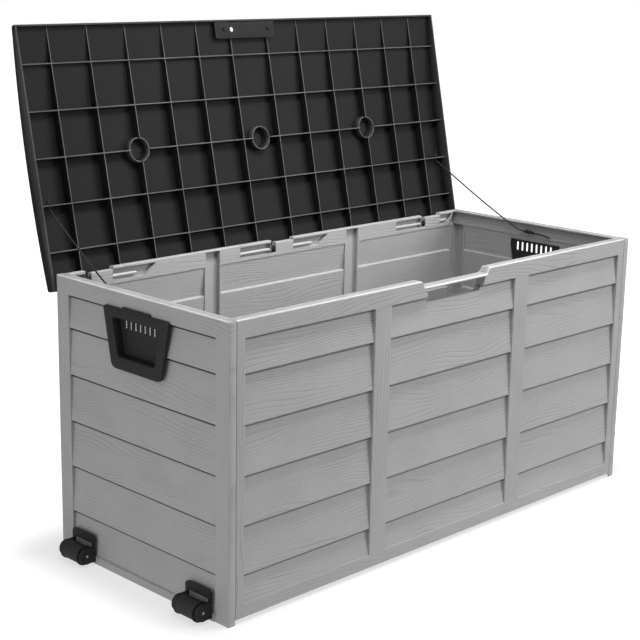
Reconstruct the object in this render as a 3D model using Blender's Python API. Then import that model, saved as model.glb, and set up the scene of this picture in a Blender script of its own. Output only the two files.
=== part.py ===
"""Deck storage box: four clapboard wall panels, a floor tray, a ribbed hinged lid held open by two
stay cords, two recessed handles and two rollers. Metres, +Z up. The origin is on the ground under
the middle of the box, X runs along its length and the front faces -Y. The lid is modelled open."""

import math

import bmesh
import bpy
from mathutils import Matrix, Vector

# ---- overall sizes -------------------------------------------------------------------------
LENGTH = 1.100
DEPTH = 0.463
HEIGHT = 0.518
WALL = 0.003
GAP = 0.0003

# ---- wall panels ---------------------------------------------------------------------------
RIM_WIDTH = 0.020            # flat top of the front and end walls
REAR_RIM_WIDTH = 0.012       # the rear rim is flush with the rear wall's inner face
RAIL_HEIGHT = 0.0316         # plain band above the first plank
END_STILE = 0.0340           # plain upright at each corner
MID_STILE = 0.0412           # plain upright between two front bays
MID_STILE_X = 0.1940
POST_WIDTH = 0.0150          # part of the front face that belongs to the end panels
TONGUE = 0.0080              # how far the front panel slides in behind the post
FIRST_PLANK = 0.0594
PLANK_PITCH = 0.0860
FULL_PLANKS = 4
PLANK_TOP_RECESS = 0.0080
PLANK_FOOT_RECESS = 0.0018
FRONT_FOOT_CLEARANCE = 0.009
FRONT_BOTTOM_RAIL = 0.025
END_STRIP_HEIGHT = 0.014
END_STRIP_PROUD = 0.0015
LEDGE_WIDTH = 0.020

# ---- floor tray ----------------------------------------------------------------------------
TRAY_DEPTH = 0.016
TRAY_FOOT_SIZE = 0.060
TRAY_RIBS_ALONG = 2
TRAY_RIBS_ACROSS = 5

# ---- latch ---------------------------------------------------------------------------------
LATCH_NOTCH_HALF = 0.0915
LATCH_NOTCH_DROP = 0.012
LATCH_WINDOW_HALF = 0.080
LATCH_WINDOW_HEIGHT = 0.0265
LATCH_BAR_PROUD = 0.0035
PADLOCK_X = -0.0485
PADLOCK_INSET = 0.0145
PADLOCK_RADIUS = 0.005
LATCH_PLATE_LENGTH = 0.156
LATCH_PLATE_DEPTH = 0.0315
LATCH_PLATE_X = -0.0135
LATCH_PLATE_LIFT = 0.0065    # air between the plate and the notched rim when the lid is shut
LATCH_SCREWS_X = (-0.0700, 0.0480)
SHACKLE_SLOT = (-0.006, 0.019, 0.006)    # opening in the lid over the padlock hole: left, right, half depth
SCREW_HEAD_RADIUS = 0.004
SCREW_SHANK_RADIUS = 0.0016

# ---- hinges --------------------------------------------------------------------------------
HINGE_DROP = 0.0183          # axis down from the rim
HINGE_PITCH = 0.4553
HINGE_SHIFT = -0.0026
HINGE_COUNT = 3
HINGE_BLOCK = 0.0470
HINGE_BLOCK_DROP = 0.0052    # block's top below the rim
PIN_RADIUS = 0.0032
PIN_OFF_WALL = 0.0004        # air between a pin and the rear wall
PIN_BEYOND_BLOCK = 0.056
LEFT_POCKET = 0.097
RIGHT_POCKET = 0.100
POCKET_SLANT = 0.024
POCKET_TOP_DROP = 0.0047
POCKET_FLOOR_DROP = 0.0257
POCKET_END_MARGIN = 0.0287   # outermost pockets stop this far from the end faces
KNUCKLE_WALL = 0.0030
KNUCKLE_WIDTH = 0.0108
KNUCKLE_ARM = 0.010
KNUCKLE_CLEARANCE = 0.001

# ---- lid -----------------------------------------------------------------------------------
OPEN_ANGLE = math.radians(102.2)
LID_SIDE_GAP = 0.0010
LID_FRONT_GAP = 0.0013
LID_REAR_GAP = 0.0023
LID_OVERLAP = 0.008          # skirt hanging below the rim
LID_FRONT_RISE = 0.0048      # skirt's top above the rim at the front
LID_REAR_RISE = 0.015        # and at the back, so the lid sheds water forwards
LID_CROWN = 0.013            # rise of the top from its edges to its middle
LID_ARC_STEPS = 14
RIB_LIFT = 0.0015            # rib tips above the rim
RIB_THICKNESS = 0.0022
LONG_RIB_COUNT = 5
LONG_RIB_PITCH = 0.0838
CROSS_RIB_PITCH = 0.0866
CROSS_RIB_MIDDLE = 0.0980
CROSS_RIBS_A_SIDE = 6
BOSS_X = 0.310
BOSS_RADIUS = 0.0240
BOSS_BORE = 0.0212
BOSS_SHORT = 0.004           # ring bosses stop this much short of the rib tips

# ---- stay cords ----------------------------------------------------------------------------
CORD_RADIUS = 0.0015
CORD_X = 0.0225              # cord line in from the end panel's outer face
CORD_RIB_Z = 0.0072          # cord hole above the rib tips
CORD_HOLE = 0.0022
KNOT_RADIUS = 0.0034
LOWER_KNOT_HALF = 0.012
LOWER_KNOT_Y = {-1: 0.062, 1: 0.012}    # left and right end
LOWER_KNOT_DROP = 0.0205     # knot below the rim
KNOT_LOOP = 0.0075
KNOT_HOLE = 0.0034
KNOT_STANDOFF = 0.0008
TAIL_LENGTH = 0.042

# ---- handles -------------------------------------------------------------------------------
HANDLE_TOP_HALF = 0.0885
HANDLE_FOOT_HALF = 0.0670
HANDLE_TOP_DROP = 0.0275
HANDLE_HEIGHT = 0.1070
HANDLE_PROUD = 0.0065
HANDLE_CUP_DEPTH = 0.0125
CUP_TOP_HALF = 0.0630
CUP_FOOT_HALF = 0.0497
CUP_TOP_DROP = 0.0450
CUP_HEIGHT = 0.0665
CUP_WALL = 0.0030
HANDLE_LIP_HALF = 0.037
HANDLE_LIP_RISE = 0.0040
SLOT_COUNT = 8
SLOT_PITCH = 0.0127
SLOT_WIDTH = 0.0055
SLOT_HEIGHT = 0.0205

# ---- rollers -------------------------------------------------------------------------------
ROLLER_Y = 0.160
ROLLER_RADIUS = 0.0185
ROLLER_LENGTH = 0.050
ROLLER_LIFT = 0.001
ROLLER_OUT = 0.0205          # axis out from the end face
ROLLER_END_PLAY = 0.0008
BRACKET_WIDTH = 0.065
BRACKET_HEIGHT = 0.0550
BRACKET_FOOT = 0.006
BRACKET_PLATE = 0.0035
ARM_RADIUS = 0.0150
AXLE_RADIUS = 0.0025
AXLE_PLAY = 0.0004

BITE = 0.0008                # how deep joined shapes run into each other
OVERSHOOT = 0.002            # how far cutters run past a face
ROUND_STEPS = 24

HALF_LENGTH = LENGTH / 2
HALF_DEPTH = DEPTH / 2
RAIL_Z = HEIGHT - RAIL_HEIGHT
FLANGE = PLANK_TOP_RECESS + WALL + 0.001
HINGE_INSET = WALL + PIN_OFF_WALL + PIN_RADIUS
KNUCKLE_RADIUS = PIN_RADIUS + KNUCKLE_WALL
AXIS_Y = HALF_DEPTH - HINGE_INSET
AXIS_Z = HEIGHT - HINGE_DROP
RIB_TIP_Z = HEIGHT + RIB_LIFT
LID_FRONT_Y = -HALF_DEPTH - LID_FRONT_GAP - WALL
LID_REAR_Y = HALF_DEPTH + LID_REAR_GAP + WALL
LID_HALF = HALF_LENGTH + LID_SIDE_GAP + WALL
LID_MID_Y = (LID_FRONT_Y + LID_REAR_Y) / 2
LID_FRONT_Z = HEIGHT + LID_FRONT_RISE
LID_REAR_Z = HEIGHT + LID_REAR_RISE
LATCH_FLOOR_Z = HEIGHT - LATCH_NOTCH_DROP
POCKET_LIMIT = HALF_LENGTH - POCKET_END_MARGIN


# ---- scene and materials -------------------------------------------------------------------
def empty_scene():
    for found in list(bpy.data.objects):
        bpy.data.objects.remove(found)
    parts = bpy.data.collections.new("deck_storage_box")
    bpy.context.scene.collection.children.link(parts)
    return parts


def plastic(name, colour, roughness, metallic=0.0):
    made = bpy.data.materials.new(name)
    made.use_nodes = True
    shader = made.node_tree.nodes["Principled BSDF"]
    shader.inputs["Base Color"].default_value = (*colour, 1.0)
    shader.inputs["Roughness"].default_value = roughness
    shader.inputs["Metallic"].default_value = metallic
    return made


# ---- meshes --------------------------------------------------------------------------------
def clean(mesh):
    work = bmesh.new()
    work.from_mesh(mesh)
    bmesh.ops.remove_doubles(work, verts=work.verts, dist=0.00001)
    bmesh.ops.recalc_face_normals(work, faces=work.faces)
    work.to_mesh(mesh)
    work.free()
    return mesh


def box(low, high):
    """A block between two corners, each given as (x, y, z)."""
    low, high = Vector(low), Vector(high)
    work = bmesh.new()
    size = Matrix.Diagonal((*(high - low), 1.0))
    bmesh.ops.create_cube(work, size=1.0, matrix=Matrix.Translation((low + high) / 2) @ size)
    mesh = bpy.data.meshes.new("block")
    work.to_mesh(mesh)
    work.free()
    return mesh


def rod(radius, length, centre, axis, steps=ROUND_STEPS):
    """A round bar of this length about the named axis, centred on a point."""
    turn = {"X": Matrix.Rotation(math.pi / 2, 4, "Y"), "Y": Matrix.Rotation(math.pi / 2, 4, "X"),
            "Z": Matrix.Identity(4)}[axis]
    work = bmesh.new()
    bmesh.ops.create_cone(work, cap_ends=True, segments=steps, radius1=radius, radius2=radius,
                          depth=length, matrix=Matrix.Translation(centre) @ turn)
    mesh = bpy.data.meshes.new("rod")
    work.to_mesh(mesh)
    work.free()
    return mesh


def curve_mesh(curve, matrix):
    """The closed mesh of a curve, moved by a matrix."""
    holder = bpy.data.objects.new("outline", curve)
    bpy.context.scene.collection.objects.link(holder)
    bpy.context.view_layer.update()
    shaped = holder.evaluated_get(bpy.context.evaluated_depsgraph_get())
    mesh = bpy.data.meshes.new_from_object(shaped)
    mesh.transform(matrix)
    bpy.data.objects.remove(holder)
    return clean(mesh)


EXTRUDE_ALONG = {
    "X": Matrix(((0, 0, 1, 0), (1, 0, 0, 0), (0, 1, 0, 0), (0, 0, 0, 1))),    # outline is (y, z)
    "Y": Matrix(((1, 0, 0, 0), (0, 0, -1, 0), (0, 1, 0, 0), (0, 0, 0, 1))),   # outline is (x, z)
    "Z": Matrix.Identity(4),                                                  # outline is (x, y)
}


def outline(points, axis, start, end):
    """A flat outline given in the two other axes, extruded along one axis from start to end."""
    curve = bpy.data.curves.new("outline", "CURVE")
    curve.dimensions = "2D"
    curve.fill_mode = "BOTH"
    curve.extrude = abs(end - start) / 2
    spline = curve.splines.new("POLY")
    spline.points.add(len(points) - 1)
    for point, (across, up) in zip(spline.points, points):
        point.co = (across, up, 0.0, 1.0)
    spline.use_cyclic_u = True
    middle = {"X": Vector((1, 0, 0)), "Y": Vector((0, 1, 0)), "Z": Vector((0, 0, 1))}[axis]
    shift = Matrix.Translation(middle * (start + end) / 2)
    return curve_mesh(curve, shift @ EXTRUDE_ALONG[axis])


def tube(points, radius):
    """A round cord through a list of points."""
    curve = bpy.data.curves.new("cord", "CURVE")
    curve.dimensions = "3D"
    curve.bevel_depth = radius
    curve.bevel_resolution = 2
    curve.use_fill_caps = True
    spline = curve.splines.new("POLY")
    spline.points.add(len(points) - 1)
    for point, place in zip(spline.points, points):
        point.co = (*place, 1.0)
    return curve_mesh(curve, Matrix.Identity(4))


def rounded(corners, radii, steps=5):
    """A polygon with each corner replaced by an arc of its own radius."""
    points = []
    count = len(corners)
    for index, (corner, radius) in enumerate(zip(corners, radii)):
        here = Vector(corner)
        back = (Vector(corners[index - 1]) - here).normalized()
        ahead = (Vector(corners[(index + 1) % count]) - here).normalized()
        half = math.acos(max(-1.0, min(1.0, back.dot(ahead)))) / 2
        centre = here + (back + ahead).normalized() * radius / math.sin(half)
        first = here + back * radius / math.tan(half) - centre
        last = here + ahead * radius / math.tan(half) - centre
        for step in range(steps + 1):
            along = first.lerp(last, step / steps).normalized() * radius
            points.append(tuple(centre + along))
    return points


def fuse(pieces, cuts=()):
    """One closed mesh: the union of the pieces less the cuts."""
    scene = bpy.context.scene.collection
    body = bpy.data.objects.new("body", pieces[0])
    scene.objects.link(body)
    helpers = []
    for title, meshes in (("UNION", pieces[1:]), ("DIFFERENCE", cuts)):
        if not meshes:
            continue
        group = bpy.data.collections.new(title)
        scene.children.link(group)
        for mesh in meshes:
            helper = bpy.data.objects.new("helper", mesh)
            group.objects.link(helper)
            helpers.append(helper)
        step = body.modifiers.new(title, "BOOLEAN")
        step.operation = title
        step.operand_type = "COLLECTION"
        step.collection = group
        step.solver = "EXACT"
        step.use_self = True
    bpy.context.view_layer.update()
    mesh = bpy.data.meshes.new_from_object(body.evaluated_get(bpy.context.evaluated_depsgraph_get()))
    for helper in helpers:
        bpy.data.objects.remove(helper)
    for group in [step.collection for step in body.modifiers]:
        bpy.data.collections.remove(group)
    bpy.data.objects.remove(body)
    return clean(mesh)


def place(parts, name, mesh, material, at=(0, 0, 0), turn=0.0, parent=None, smooth=False):
    """Put a finished mesh in the scene, turned about Z, under a parent where it has one."""
    mesh.name = name
    mesh.materials.clear()
    mesh.materials.append(material)
    if smooth:
        mesh.shade_smooth()
        mesh.set_sharp_from_angle(angle=math.radians(35))
    made = bpy.data.objects.new(name, mesh)
    made.location = at
    made.rotation_euler = (0, 0, turn)
    made.parent = parent
    parts.objects.link(made)
    return made


# ---- wall panels: u along the wall, w inward from its outer face, z up ----------------------
def plank_lines(foot):
    """Heights of the plank edges, from the rail down to the foot."""
    lines = [RAIL_Z, RAIL_Z - FIRST_PLANK]
    lines += [lines[1] - PLANK_PITCH * step for step in range(1, FULL_PLANKS + 1)]
    return lines + [foot]


def plank_skin(start, end, foot):
    """Overlapping planks of one bay as a folded sheet of even thickness."""
    lines = plank_lines(foot)
    outer = []
    inner = []
    for upper, lower in zip(lines, lines[1:]):
        outer += [(PLANK_TOP_RECESS, upper), (PLANK_FOOT_RECESS, lower)]
        inner += [(PLANK_TOP_RECESS + WALL, upper + WALL), (PLANK_FOOT_RECESS + WALL, lower + WALL)]
    outer[0] = (PLANK_TOP_RECESS, lines[0] + BITE)
    inner[0] = (PLANK_TOP_RECESS + WALL, lines[0] + BITE)
    outer[-1] = (PLANK_FOOT_RECESS, foot - BITE)
    inner[-1] = (PLANK_FOOT_RECESS + WALL, foot - BITE)
    return outline(outer + inner[::-1], "X", start, end)


def stile(start, end, foot, edges):
    """A plain upright, with a flange inward along each edge that meets a bay."""
    pieces = [box((start, 0, foot), (end, WALL, RAIL_Z + BITE))]
    for edge in edges:
        near, far = sorted((edge, edge + (WALL if edge == start else -WALL)))
        pieces.append(box((near, 0, foot), (far, FLANGE, RAIL_Z + BITE)))
    return pieces


def rail(outer_half, inner_half, rim_half, rim_width):
    """The box-section top rail: outer face, flat rim, inner face and the web under them."""
    joined = min(outer_half, inner_half, rim_half)
    return [box((-outer_half, 0, RAIL_Z), (outer_half, WALL, HEIGHT)),
            box((-rim_half, 0, HEIGHT - WALL), (rim_half, rim_width, HEIGHT)),
            box((-inner_half, FLANGE - WALL, RAIL_Z), (inner_half, FLANGE, HEIGHT - WALL - GAP)),
            box((-joined, FLANGE - WALL, RAIL_Z + WALL), (joined, FLANGE, HEIGHT - BITE)),
            box((-inner_half, WALL + GAP, RAIL_Z), (inner_half, FLANGE, RAIL_Z + WALL)),
            box((-joined, 0, RAIL_Z), (joined, FLANGE, RAIL_Z + WALL))]


def long_wall(rim_width):
    """Pieces that the front and the rear wall share."""
    half = HALF_LENGTH - POST_WIDTH - GAP
    inner_half = HALF_LENGTH - RIM_WIDTH - GAP
    foot = FRONT_FOOT_CLEARANCE
    bay_foot = foot + FRONT_BOTTOM_RAIL
    near, far = MID_STILE_X - MID_STILE / 2, MID_STILE_X + MID_STILE / 2
    outer = HALF_LENGTH - END_STILE
    pieces = rail(half, HALF_LENGTH - FLANGE - GAP, inner_half, rim_width)
    for low, high in ((-outer, -far), (-near, near), (far, outer)):
        pieces.append(plank_skin(low - BITE, high + BITE, bay_foot))
    for side in (-1, 1):
        pieces += stile(*sorted((side * near, side * far)), foot, (side * near, side * far))
        pieces += stile(*sorted((side * outer, side * half)), foot, (side * outer,))
        tongue = [(side * (half + TONGUE), WALL + GAP), (side * (half - GAP), WALL + GAP),
                  (side * (half - GAP), WALL - BITE), (side * (half - TONGUE), WALL - BITE),
                  (side * (half - TONGUE), 2 * WALL + GAP), (side * (half + TONGUE), 2 * WALL + GAP)]
        pieces.append(outline(tongue, "Z", foot + 2 * WALL, RAIL_Z - BITE))
    pieces.append(box((-half, 0, foot), (half, WALL, bay_foot)))
    pieces.append(box((-outer - BITE, 0, bay_foot - WALL), (outer + BITE, FLANGE, bay_foot)))
    pieces.append(box((-inner_half, 0, foot), (inner_half, LEDGE_WIDTH, foot + WALL)))
    return pieces


def front_panel():
    """Front wall: its rim dips in the middle and carries the padlock hole over a hand window."""
    window_top = LATCH_FLOOR_Z - WALL
    window_foot = window_top - LATCH_WINDOW_HEIGHT
    side = LATCH_WINDOW_HALF + WALL
    back = RIM_WIDTH + LATCH_BAR_PROUD
    pieces = long_wall(RIM_WIDTH)
    pieces.append(box((-LATCH_NOTCH_HALF - BITE, 0, window_top), (LATCH_NOTCH_HALF + BITE, back, LATCH_FLOOR_Z)))
    pieces.append(box((-side, PLANK_TOP_RECESS - BITE, window_foot - WALL), (side, RIM_WIDTH, window_foot)))
    for low, high in ((-side, -LATCH_WINDOW_HALF), (LATCH_WINDOW_HALF, side)):
        pieces.append(box((low, WALL - BITE, window_foot - WALL), (high, RIM_WIDTH, LATCH_FLOOR_Z)))
    cuts = [box((-LATCH_NOTCH_HALF, -OVERSHOOT, LATCH_FLOOR_Z), (LATCH_NOTCH_HALF, back + OVERSHOOT, HEIGHT + OVERSHOOT)),
            box((-LATCH_WINDOW_HALF, -OVERSHOOT, window_foot), (LATCH_WINDOW_HALF, back + OVERSHOOT, window_top)),
            rod(PADLOCK_RADIUS, 4 * WALL, (PADLOCK_X, PADLOCK_INSET, window_top + WALL / 2), "Z")]
    return fuse(pieces, cuts)


def hinge_stations():
    """Each hinge's block edges and pocket ends along world X."""
    for index in range(HINGE_COUNT):
        middle = HINGE_SHIFT + HINGE_PITCH * (index - (HINGE_COUNT - 1) / 2)
        left, right = middle - HINGE_BLOCK / 2, middle + HINGE_BLOCK / 2
        yield left, right, max(left - LEFT_POCKET, -POCKET_LIMIT), min(right + RIGHT_POCKET, POCKET_LIMIT)


def pocket_slant(right, pocket_right):
    """Run of the sloping end of a right-hand pocket, shorter in a pocket that the corner cuts off."""
    return min(POCKET_SLANT, (pocket_right - right) / 3)


def rear_panel():
    """Rear wall: bearing blocks and open pockets for the hinge pins in its rail."""
    block_top = HEIGHT - HINGE_BLOCK_DROP
    pocket_top = HEIGHT - POCKET_TOP_DROP
    pocket_floor = HEIGHT - POCKET_FLOOR_DROP
    pieces = long_wall(REAR_RIM_WIDTH)
    cuts = [box((side * MID_STILE_X - MID_STILE / 2 + WALL, WALL, RAIL_Z - BITE),
                (side * MID_STILE_X + MID_STILE / 2 - WALL, FLANGE + OVERSHOOT, HEIGHT - WALL)) for side in (-1, 1)]
    for left, right, pocket_left, pocket_right in hinge_stations():
        # The rear wall faces the other way, so world X is -u here.
        notch_left = left - KNUCKLE_WIDTH - 2 * KNUCKLE_CLEARANCE
        pieces.append(box((-right, WALL - BITE, RAIL_Z + BITE), (-left, FLANGE, block_top)))
        pieces.append(box((-pocket_left, WALL - BITE, RAIL_Z + BITE), (-pocket_left + WALL, FLANGE - BITE, HEIGHT - WALL + BITE)))
        slant = pocket_slant(right, pocket_right)
        for opening in ([(-pocket_left, pocket_top), (-pocket_left, pocket_floor), (-left, pocket_floor), (-left, pocket_top)],
                        [(-right, pocket_top), (-right, pocket_floor), (-pocket_right + slant, pocket_floor), (-pocket_right, pocket_top)]):
            cuts.append(outline(opening, "Y", FLANGE - WALL - BITE, FLANGE + OVERSHOOT))
        cuts.append(box((-right, -OVERSHOOT, block_top), (-notch_left, FLANGE + OVERSHOOT, HEIGHT + OVERSHOOT)))
        cuts.append(box((-left, -OVERSHOOT, AXIS_Z - KNUCKLE_RADIUS - 1.5 * KNUCKLE_CLEARANCE),
                        (-notch_left, FLANGE - WALL - BITE, HEIGHT + OVERSHOOT)))
        bore_left, bore_right = pocket_left - WALL - BITE, right + BITE
        cuts.append(rod(PIN_RADIUS + GAP, bore_right - bore_left, (-(bore_left + bore_right) / 2, HINGE_INSET, AXIS_Z), "X"))
    return fuse(pieces, cuts)


def handle_outline(grow=0.0):
    """The four-cornered outline of the handle's cup, grown by a margin."""
    top = HEIGHT - CUP_TOP_DROP
    corners = [(-CUP_TOP_HALF - grow, top + grow), (-CUP_FOOT_HALF - grow, top - CUP_HEIGHT - grow),
               (CUP_FOOT_HALF + grow, top - CUP_HEIGHT - grow), (CUP_TOP_HALF + grow, top + grow)]
    return rounded(corners, [0.004 + grow / 2] * 4, steps=3)


def end_panel(cord_side):
    """End wall with the corner posts; cord_side is the sign of u on the lid's hinge side."""
    inner = HALF_DEPTH - END_STILE
    pieces = rail(HALF_DEPTH, HALF_DEPTH - WALL - 2 * GAP, HALF_DEPTH, RIM_WIDTH)
    pieces.append(plank_skin(-inner - BITE, inner + BITE, END_STRIP_HEIGHT))
    for side in (-1, 1):
        pieces += stile(*sorted((side * inner, side * HALF_DEPTH)), 0, (side * inner,))
        low, high = sorted((side * HALF_DEPTH, side * (HALF_DEPTH - WALL)))
        pieces.append(box((low, 0, 0), (high, POST_WIDTH, HEIGHT)))
    pieces.append(box((-inner - BITE, -END_STRIP_PROUD, 0), (inner + BITE, WALL, END_STRIP_HEIGHT)))
    ledge_half = HALF_DEPTH - LEDGE_WIDTH - GAP
    foot = FRONT_FOOT_CLEARANCE
    pieces.append(box((-ledge_half, WALL - BITE, foot), (ledge_half, LEDGE_WIDTH, foot + WALL)))
    cuts = [outline(handle_outline(CUP_WALL + GAP), "Y", -OVERSHOOT, FLANGE + OVERSHOOT)]
    for side in (-1, 1):
        low, high = sorted((side * (HALF_DEPTH - WALL - GAP), side * (HALF_DEPTH + OVERSHOOT)))
        cuts.append(box((low, POST_WIDTH, -OVERSHOOT), (high, RIM_WIDTH + OVERSHOOT, HEIGHT + OVERSHOOT)))
        hole = (cord_side * LOWER_KNOT_Y[cord_side] + side * 0.85 * KNOT_LOOP, FLANGE, HEIGHT - LOWER_KNOT_DROP)
        cuts.append(rod(KNOT_HOLE, 3 * WALL, hole, "Y", steps=12))
    return fuse(pieces, cuts)


def base_panel():
    """Floor tray that rests on the walls' ledges, ribbed below, with feet down to the ground."""
    half_x = HALF_LENGTH - FLANGE - 2 * GAP
    half_y = HALF_DEPTH - FLANGE - 2 * GAP
    low = FRONT_FOOT_CLEARANCE + WALL + GAP
    high = low + TRAY_DEPTH
    pieces = [box((-half_x, -half_y, high - WALL), (half_x, half_y, high))]
    for side in (-1, 1):
        pieces.append(box((-half_x, *sorted((side * half_y, side * (half_y - WALL)))[:1], low),
                          (half_x, sorted((side * half_y, side * (half_y - WALL)))[1], high - BITE)))
        near, far = sorted((side * half_x, side * (half_x - WALL)))
        pieces.append(box((near, -half_y, low), (far, half_y, high - BITE)))
    for index in range(TRAY_RIBS_ALONG):
        y = half_y * (2 * (index + 1) / (TRAY_RIBS_ALONG + 1) - 1)
        pieces.append(box((-half_x + BITE, y - WALL / 2, low + WALL), (half_x - BITE, y + WALL / 2, high - BITE)))
    for index in range(TRAY_RIBS_ACROSS):
        x = half_x * (2 * (index + 1) / (TRAY_RIBS_ACROSS + 1) - 1)
        pieces.append(box((x - WALL / 2, -half_y + BITE, low + WALL), (x + WALL / 2, half_y - BITE, high - BITE)))
    reach_x, reach_y = half_x - TRAY_FOOT_SIZE, half_y - TRAY_FOOT_SIZE
    for x, y in ((0, 0), (-reach_x, -reach_y), (reach_x, -reach_y), (-reach_x, reach_y), (reach_x, reach_y)):
        pieces.append(box((x - TRAY_FOOT_SIZE / 2, y - TRAY_FOOT_SIZE / 2, 0),
                          (x + TRAY_FOOT_SIZE / 2, y + TRAY_FOOT_SIZE / 2, high - BITE)))
    return fuse(pieces)


# ---- handles, u and w as on the end panel ---------------------------------------------------
def handle():
    """Handle insert: a proud bezel round a shallow cup whose back has a row of slots."""
    top = HEIGHT - HANDLE_TOP_DROP
    corners = [(-HANDLE_TOP_HALF, top), (-HANDLE_FOOT_HALF, top - HANDLE_HEIGHT),
               (HANDLE_FOOT_HALF, top - HANDLE_HEIGHT), (HANDLE_TOP_HALF, top)]
    bezel = outline(rounded(corners, (0.005, 0.014, 0.014, 0.005)), "Y", -HANDLE_PROUD, -GAP)
    cup = outline(handle_outline(CUP_WALL), "Y", -HANDLE_PROUD / 2, HANDLE_CUP_DEPTH)
    lip = box((-HANDLE_LIP_HALF, -HANDLE_PROUD + 0.001, top - BITE), (HANDLE_LIP_HALF, -GAP, top + HANDLE_LIP_RISE))
    cuts = [outline(handle_outline(), "Y", -HANDLE_PROUD - OVERSHOOT, HANDLE_CUP_DEPTH - CUP_WALL)]
    slot_top = HEIGHT - CUP_TOP_DROP + 0.0005
    for index in range(SLOT_COUNT):
        middle = SLOT_PITCH * (index - (SLOT_COUNT - 1) / 2)
        cuts.append(box((middle - SLOT_WIDTH / 2, 0, slot_top - SLOT_HEIGHT),
                        (middle + SLOT_WIDTH / 2, HANDLE_CUP_DEPTH + OVERSHOOT, slot_top)))
    return fuse([bezel, cup, lip], cuts)


# ---- lid, in its shut place ----------------------------------------------------------------
def lid_arc(y, drop=0.0):
    """Height of the lid's top at a depth y: a shallow parabola over a line that rises to the back."""
    share = 2 * (y - LID_MID_Y) / (LID_REAR_Y - LID_FRONT_Y)
    edge = LID_FRONT_Z + (LID_REAR_Z - LID_FRONT_Z) * (1 + share) / 2
    return edge - drop + LID_CROWN * (1 - share * share)


def lid_slice(start, end, low_z, near, far, drop):
    """A slab of the lid's cross-section from a flat foot up to the arc, between two ends in X."""
    arc = []
    for step in range(LID_ARC_STEPS + 1):
        y = near + (far - near) * step / LID_ARC_STEPS
        arc.append((y, lid_arc(y, drop)))
    return outline([(near, low_z)] + [(far, low_z)] + arc[::-1], "X", start, end)


def lid_panel():
    """Lid moulding: domed top, skirt all round, rib grid, ring bosses and hinge knuckles."""
    skirt_z = HEIGHT - LID_OVERLAP
    inner_near, inner_far = LID_FRONT_Y + WALL, LID_REAR_Y - WALL
    shell = fuse([lid_slice(-LID_HALF, LID_HALF, skirt_z, LID_FRONT_Y, LID_REAR_Y, 0)],
                 [lid_slice(-LID_HALF + WALL, LID_HALF - WALL, skirt_z - OVERSHOOT, inner_near, inner_far, WALL)])
    pieces = [shell]
    cuts = []
    for index in range(LONG_RIB_COUNT):
        y = LID_MID_Y + LONG_RIB_PITCH * (index - (LONG_RIB_COUNT - 1) / 2)
        pieces.append(box((-LID_HALF + WALL - BITE, y - RIB_THICKNESS / 2, RIB_TIP_Z),
                          (LID_HALF - WALL + BITE, y + RIB_THICKNESS / 2, lid_arc(y, WALL) + BITE)))
    for index in range(CROSS_RIBS_A_SIDE):
        for side in (-1, 1):
            x = side * (CROSS_RIB_MIDDLE / 2 + CROSS_RIB_PITCH * index)
            pieces.append(lid_slice(x - RIB_THICKNESS / 2, x + RIB_THICKNESS / 2, RIB_TIP_Z + BITE / 4,
                                    inner_near - BITE, inner_far + BITE, WALL - BITE))
    for x in (-BOSS_X, 0, BOSS_X):
        middle = (RIB_TIP_Z + BOSS_SHORT + lid_arc(LID_MID_Y, WALL) + BITE) / 2
        height = lid_arc(LID_MID_Y, WALL) + BITE - RIB_TIP_Z - BOSS_SHORT
        pieces.append(rod(BOSS_RADIUS, height, (x, LID_MID_Y, middle), "Z"))
        cuts.append(rod(BOSS_BORE, height, (x, LID_MID_Y, middle - WALL), "Z"))
    for left, _, _, _ in hinge_stations():
        high = left - KNUCKLE_CLEARANCE
        low = high - KNUCKLE_WIDTH
        pieces.append(rod(KNUCKLE_RADIUS, KNUCKLE_WIDTH, ((low + high) / 2, AXIS_Y, AXIS_Z), "X"))
        pieces.append(box((low, AXIS_Y - KNUCKLE_ARM / 2, AXIS_Z),
                          (high, AXIS_Y + KNUCKLE_ARM / 2, lid_arc(AXIS_Y + KNUCKLE_ARM / 2, WALL) + BITE)))
        cuts.append(rod(PIN_RADIUS + GAP, KNUCKLE_WIDTH + OVERSHOOT, ((low + high) / 2, AXIS_Y, AXIS_Z), "X"))
    plate_low, plate_high = latch_plate_span()
    stand_top = lid_arc(latch_plate_y(), WALL) + BITE
    for x in LATCH_SCREWS_X:
        stand = (x, latch_plate_y(), (plate_high + GAP + stand_top) / 2)
        pieces.append(rod(2 * SCREW_HEAD_RADIUS, stand_top - plate_high - GAP, stand, "Z"))
        cuts.append(rod(SCREW_SHANK_RADIUS + GAP, 3 * (plate_high - plate_low), (x, latch_plate_y(), plate_high), "Z", 12))
    slot_left, slot_right, slot_half = SHACKLE_SLOT
    cuts.append(box((PADLOCK_X + slot_left, latch_plate_y() - slot_half, plate_high + GAP),
                    (PADLOCK_X + slot_right, latch_plate_y() + slot_half, LID_FRONT_Z + LID_CROWN)))
    for side in (-1, 1):
        cuts.append(rod(CORD_HOLE, 4 * RIB_THICKNESS, cord_hole(side), "Y", 12))
    return fuse(pieces, cuts)


# ---- latch plate, shut place ---------------------------------------------------------------
def latch_plate_span():
    low = LATCH_FLOOR_Z + LATCH_PLATE_LIFT
    return low, low + WALL


def latch_plate_y():
    return -HALF_DEPTH + PADLOCK_INSET


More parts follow.
